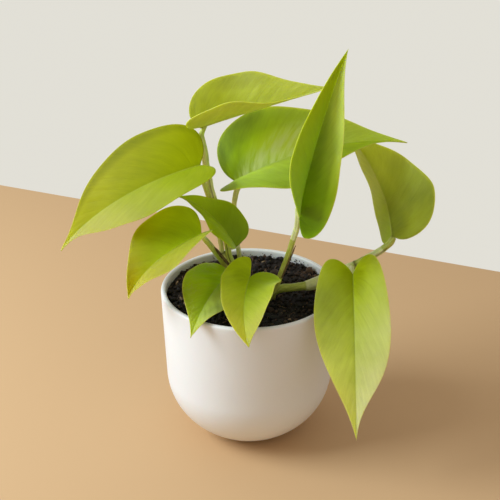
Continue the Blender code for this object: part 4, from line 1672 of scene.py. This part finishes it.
STALKS = {
    "left": BarShape("stalk_left", Tone.PALE, (1.6, 1.35), (
        (-13.1, 17.4, 103.1), (-14, 16.7, 107.8), (-15.2, 16.2, 111.5), (-17.1, 16, 115.9),
        (-17.9, 16, 121.5), (-20, 16.3, 131.7), (-22.9, 16.5, 145.2), (-25.4, 15.8, 154.2),
        (-27.3, 14, 161.6), (-28.4, 10.5, 168.2), (-28.9, 6.8, 173.2)),
        rings=(0.17,), wings=((0.0, 0.34), (0.02, 0.3)), shade_lines=((0.02, 0.3, 15), (0.5, 0.82, 35)),
        brown=((0.5, 0.75),)),
    "top": BarShape("stalk_top", Tone.PALE, (
        1.9, 1.9, 1.9, 1.85, 1.85, 1.85, 1.9, 2.0, 2.1, 2.1, 2.0, 1.7, 1.3), (
        (-11.3, 16.1, 108.8), (-12.8, 16, 113.1), (-13.7, 16, 119.4), (-16.3, 16.3, 131.7),
        (-19.6, 16.8, 143.7), (-22.2, 17, 153.1), (-23.7, 17.1, 159), (-24.5, 17.2, 163.9),
        (-25.9, 17, 170.9), (-27, 16.7, 182), (-28.1, 17, 187.7), (-28.7, 17.5, 192.6)),
        shade_lines=((0.02, 0.22, 150), (0.45, 0.68, 140)), wings=((0.5, 0.95),)),
    "back": BarShape("stalk_back", Tone.PALE, (1.4, 1.4, 1.4, 1.4, 1.4, 1.5, 1.65, 1.75, 1.3), (
        (-5.7, 17.7, 105.8), (-5.9, 18, 110), (-6.6, 17.9, 114.2), (-7.3, 17.5, 120),
        (-8.4, 17.3, 133.3), (-9.2, 17.3, 146.2), (-8.7, 16.5, 151.9), (-7.4, 15.2, 158.1)),
        wings=((0.6, 1.0),)),
    "upright": BarShape(
        "stalk_upright", Tone.STALK,
        (1.5, 1.5, 1.75, 1.7, 1.7, 1.65, 1.8, 1.8, 1.85, 1.8, 1.4), (
            (15.7, -9.9, 101), (17.1, -10.2, 104.6), (19.1, -11.2, 112.4), (21.4, -12.6, 120.2),
            (23.4, -14.4, 127.8), (25.1, -15.8, 134.5), (26.3, -17, 140), (27.7, -18, 145.4),
            (28.6, -19, 151), (28.7, -20, 155.9)),
        wings=((0.64, 1.0),), brown=((0.0, 0.12),)),
    "rear_right": BarShape("stalk_rear_right", Tone.STALK, (2.35, 2.2, 2.1, 2.0, 1.7), (
        (72.7, -1, 118.9), (79.8, -1, 123.5), (83.7, -1.2, 126.9), (86.6, -1.2, 129.9),
        (88.2, -0.9, 133.0)),
        shade_lines=((0.0, 0.7, 20),), wings=((0.0, 0.6),), seated=False),
    "hanging": BarShape("stalk_hanging", Tone.STALK, (1.5, 1.3), (
        (63.1, -3.6, 113.6), (62.9, -6, 114.8), (62.7, -11, 115.6)), wings=((0.0, 1.0),)),
    "front": BarShape("stalk_front", Tone.STALK, (1.5, 1.2), (
        (7, -4, 68), (7, -4, 95.5), (6.6, -6.5, 100.5), (5, -11.5, 106.5), (2.9, -16, 110.6))),
    "front_left": BarShape("stalk_front_left", Tone.STALK, (1.5, 1.2), (
        (-9.4, 14.2, 97.6), (-9.7, 12.3, 98.2), (-10.5, 7.5, 100.5), (-11.8, 1.5, 104.2))),
    "low_left": BarShape("stalk_low_left", Tone.PALE, (1.7, 1.7, 1.75, 1.75, 1.8, 1.8, 1.7, 1.4), (
        (-12.1, 14.8, 100.2), (-13.1, 13.5, 103), (-14.9, 12, 106.9), (-17.3, 10, 112.1),
        (-20.2, 5, 119.4), (-23, -1, 126.8), (-25.5, -7.5, 133.6), (-27.4, -13, 138.6)),
        brown=((0.0, 0.5),), seated=False),
    "inner": BarShape("stalk_inner", Tone.STALK, (1.4, 1.3), (
        (-6, 14.3, 103.3), (-5.6, 13, 106.1), (-5.7, 9.5, 112), (-6.4, 5, 119.8),
        (-7.1, 1.6, 125.9)), wings=((0.4, 1.0),)),
}

SHEATHS = (
    SheathShape("dried_sheath_left", 1.0, 0.4, (
        (-12.4, 9, 109.1), (-14.5, 7, 113), (-16.9, 3.6, 118), (-18.9, 0, 122.8),
        (-20.9, -4.2, 128))),
    SheathShape("dried_sheath_right", 0.55, 0.4, (
        (20, -13.2, 111.7), (21.7, -13.9, 117.1), (23.6, -15.2, 122.7), (25.6, -16.9, 129),
        (27, -17.6, 133.6), (27.8, -17.6, 135.4))),
)


@dataclass(frozen=True)
class Studio:
    """Camera at the photograph's viewing angle, soft light from the left and a pale floor."""

    camera_place: Point = (0.0, -576.92, 401.61)
    camera_tilt: float = 64.32
    camera_turn: float = -0.055
    lens: float = 75.0
    sensor: float = 36.0
    zenith: Colour = (0.70, 0.69, 0.68)
    sky: Colour = (0.375, 0.37, 0.36)
    horizon: Colour = (0.76, 0.742, 0.675)
    key_place: Point = (-800.0, -118.0, 640.0)
    key_size: float = 520.0
    key_power: float = 8.6
    key_colour: Colour = (0.97, 1.15, 1.33)
    aim: Point = (0.0, 0.0, 110.0)
    table_edge: tuple[Point, Point] = ((-255.0, 412.0, 0.0), (214.0, 215.0, 0.0))
    table: Colour = (0.64, 0.4, 0.2)

    def camera(self) -> None:
        """Place the camera."""
        data = bpy.data.cameras.new("camera")
        data.lens = self.lens
        data.sensor_width = self.sensor
        data.clip_start = 0.01
        item = bpy.data.objects.new("camera", data)
        item.location = Vector(self.camera_place) * MM
        item.rotation_euler = (math.radians(self.camera_tilt), 0.0, math.radians(self.camera_turn))
        bpy.context.collection.objects.link(item)
        bpy.context.scene.camera = item

    def lamp(self, name: str, place: Point, size: float, power: float, colour: Colour) -> None:
        """Add a soft square lamp that points at the plant.

        Args:
            name: the lamp's name.
            place: where it stands.
            size: its side.
            power: its power in watts.
            colour: its colour.
        """
        data = bpy.data.lights.new(name, "AREA")
        data.shape = "SQUARE"
        data.size = size * MM
        data.energy = power
        data.color = colour
        item = bpy.data.objects.new(name, data)
        item.location = Vector(place) * MM
        way = (Vector(self.aim) - Vector(place)).normalized()
        item.rotation_mode = "QUATERNION"
        item.rotation_quaternion = way.to_track_quat("-Z", "Y")
        bpy.context.collection.objects.link(item)

    def sky_light(self) -> None:
        """Soft light from above, and a paler room below the floor's far edge."""
        g = Graph(bpy.data.worlds.new("soft room"))
        away = g.node("ShaderNodeTexCoord").outputs["Generated"]
        rise = g.part(away, 2)
        above = g.mix(self.sky, self.zenith, rise.step(0.4, 1.0))
        tint = g.mix(self.horizon, above, rise.step(-0.06, 0.12))
        bpy.context.scene.world = g.surface(Color=tint, Strength=1.0)

    def floor(self) -> None:
        """Lay the plain floor, which ends at the table's far edge."""
        start, end = (Vector(point) * MM for point in self.table_edge)
        along = (end - start).normalized() * 4.0
        beside = Vector((along.y, -along.x, 0.0))
        corners = (start - along, start - along + beside, start + along + beside, start + along)
        mesh = bpy.data.meshes.new("floor")
        mesh.from_pydata([tuple(corner) for corner in corners], [], [(0, 1, 2, 3)])
        mesh.materials.append(FloorFinish(self.table).material("pale table"))
        item = bpy.data.objects.new("floor", mesh)
        bpy.context.collection.objects.link(item)

    def build(self) -> None:
        """Set up the studio."""
        self.camera()
        self.sky_light()
        self.lamp("window", self.key_place, self.key_size, self.key_power, self.key_colour)
        self.floor()
        bpy.context.scene.view_settings.view_transform = "Standard"


class Plant:
    """The whole potted plant."""

    def __init__(self) -> None:
        """Keep the pot's shape, which the soil needs too."""
        self.pot = PotShape()

    def build(self) -> None:
        """Build and dress every piece, in order."""
        Pot(self.pot).build()
        Soil(SoilShape(), self.pot).build()
        skins = {tone: tone.value.material(tone.name.lower() + " skin") for tone in Tone}
        for shape in STEMS:
            Stalk(shape).build(skins[shape.tone])
        for leaf_shape in LEAVES:
            leaf = Leaf(leaf_shape)
            leaf.build()
            stalk = STALKS[leaf_shape.name]
            seat = leaf.seat(stalk.points[-1], stalk.radii[-1])
            Stalk(stalk, seat if stalk.seated else ()).build(skins[stalk.tone])
        dry = DriedFinish().material("dry sheath")
        for sheath in SHEATHS:
            Sheath(sheath).build(dry)


def main() -> None:
    """Build the plant and the studio round it."""
    logging.basicConfig(level=logging.INFO, format="%(name)s: %(message)s")
    Plant().build()
    Studio().build()


if __name__ == "__main__":
    main()
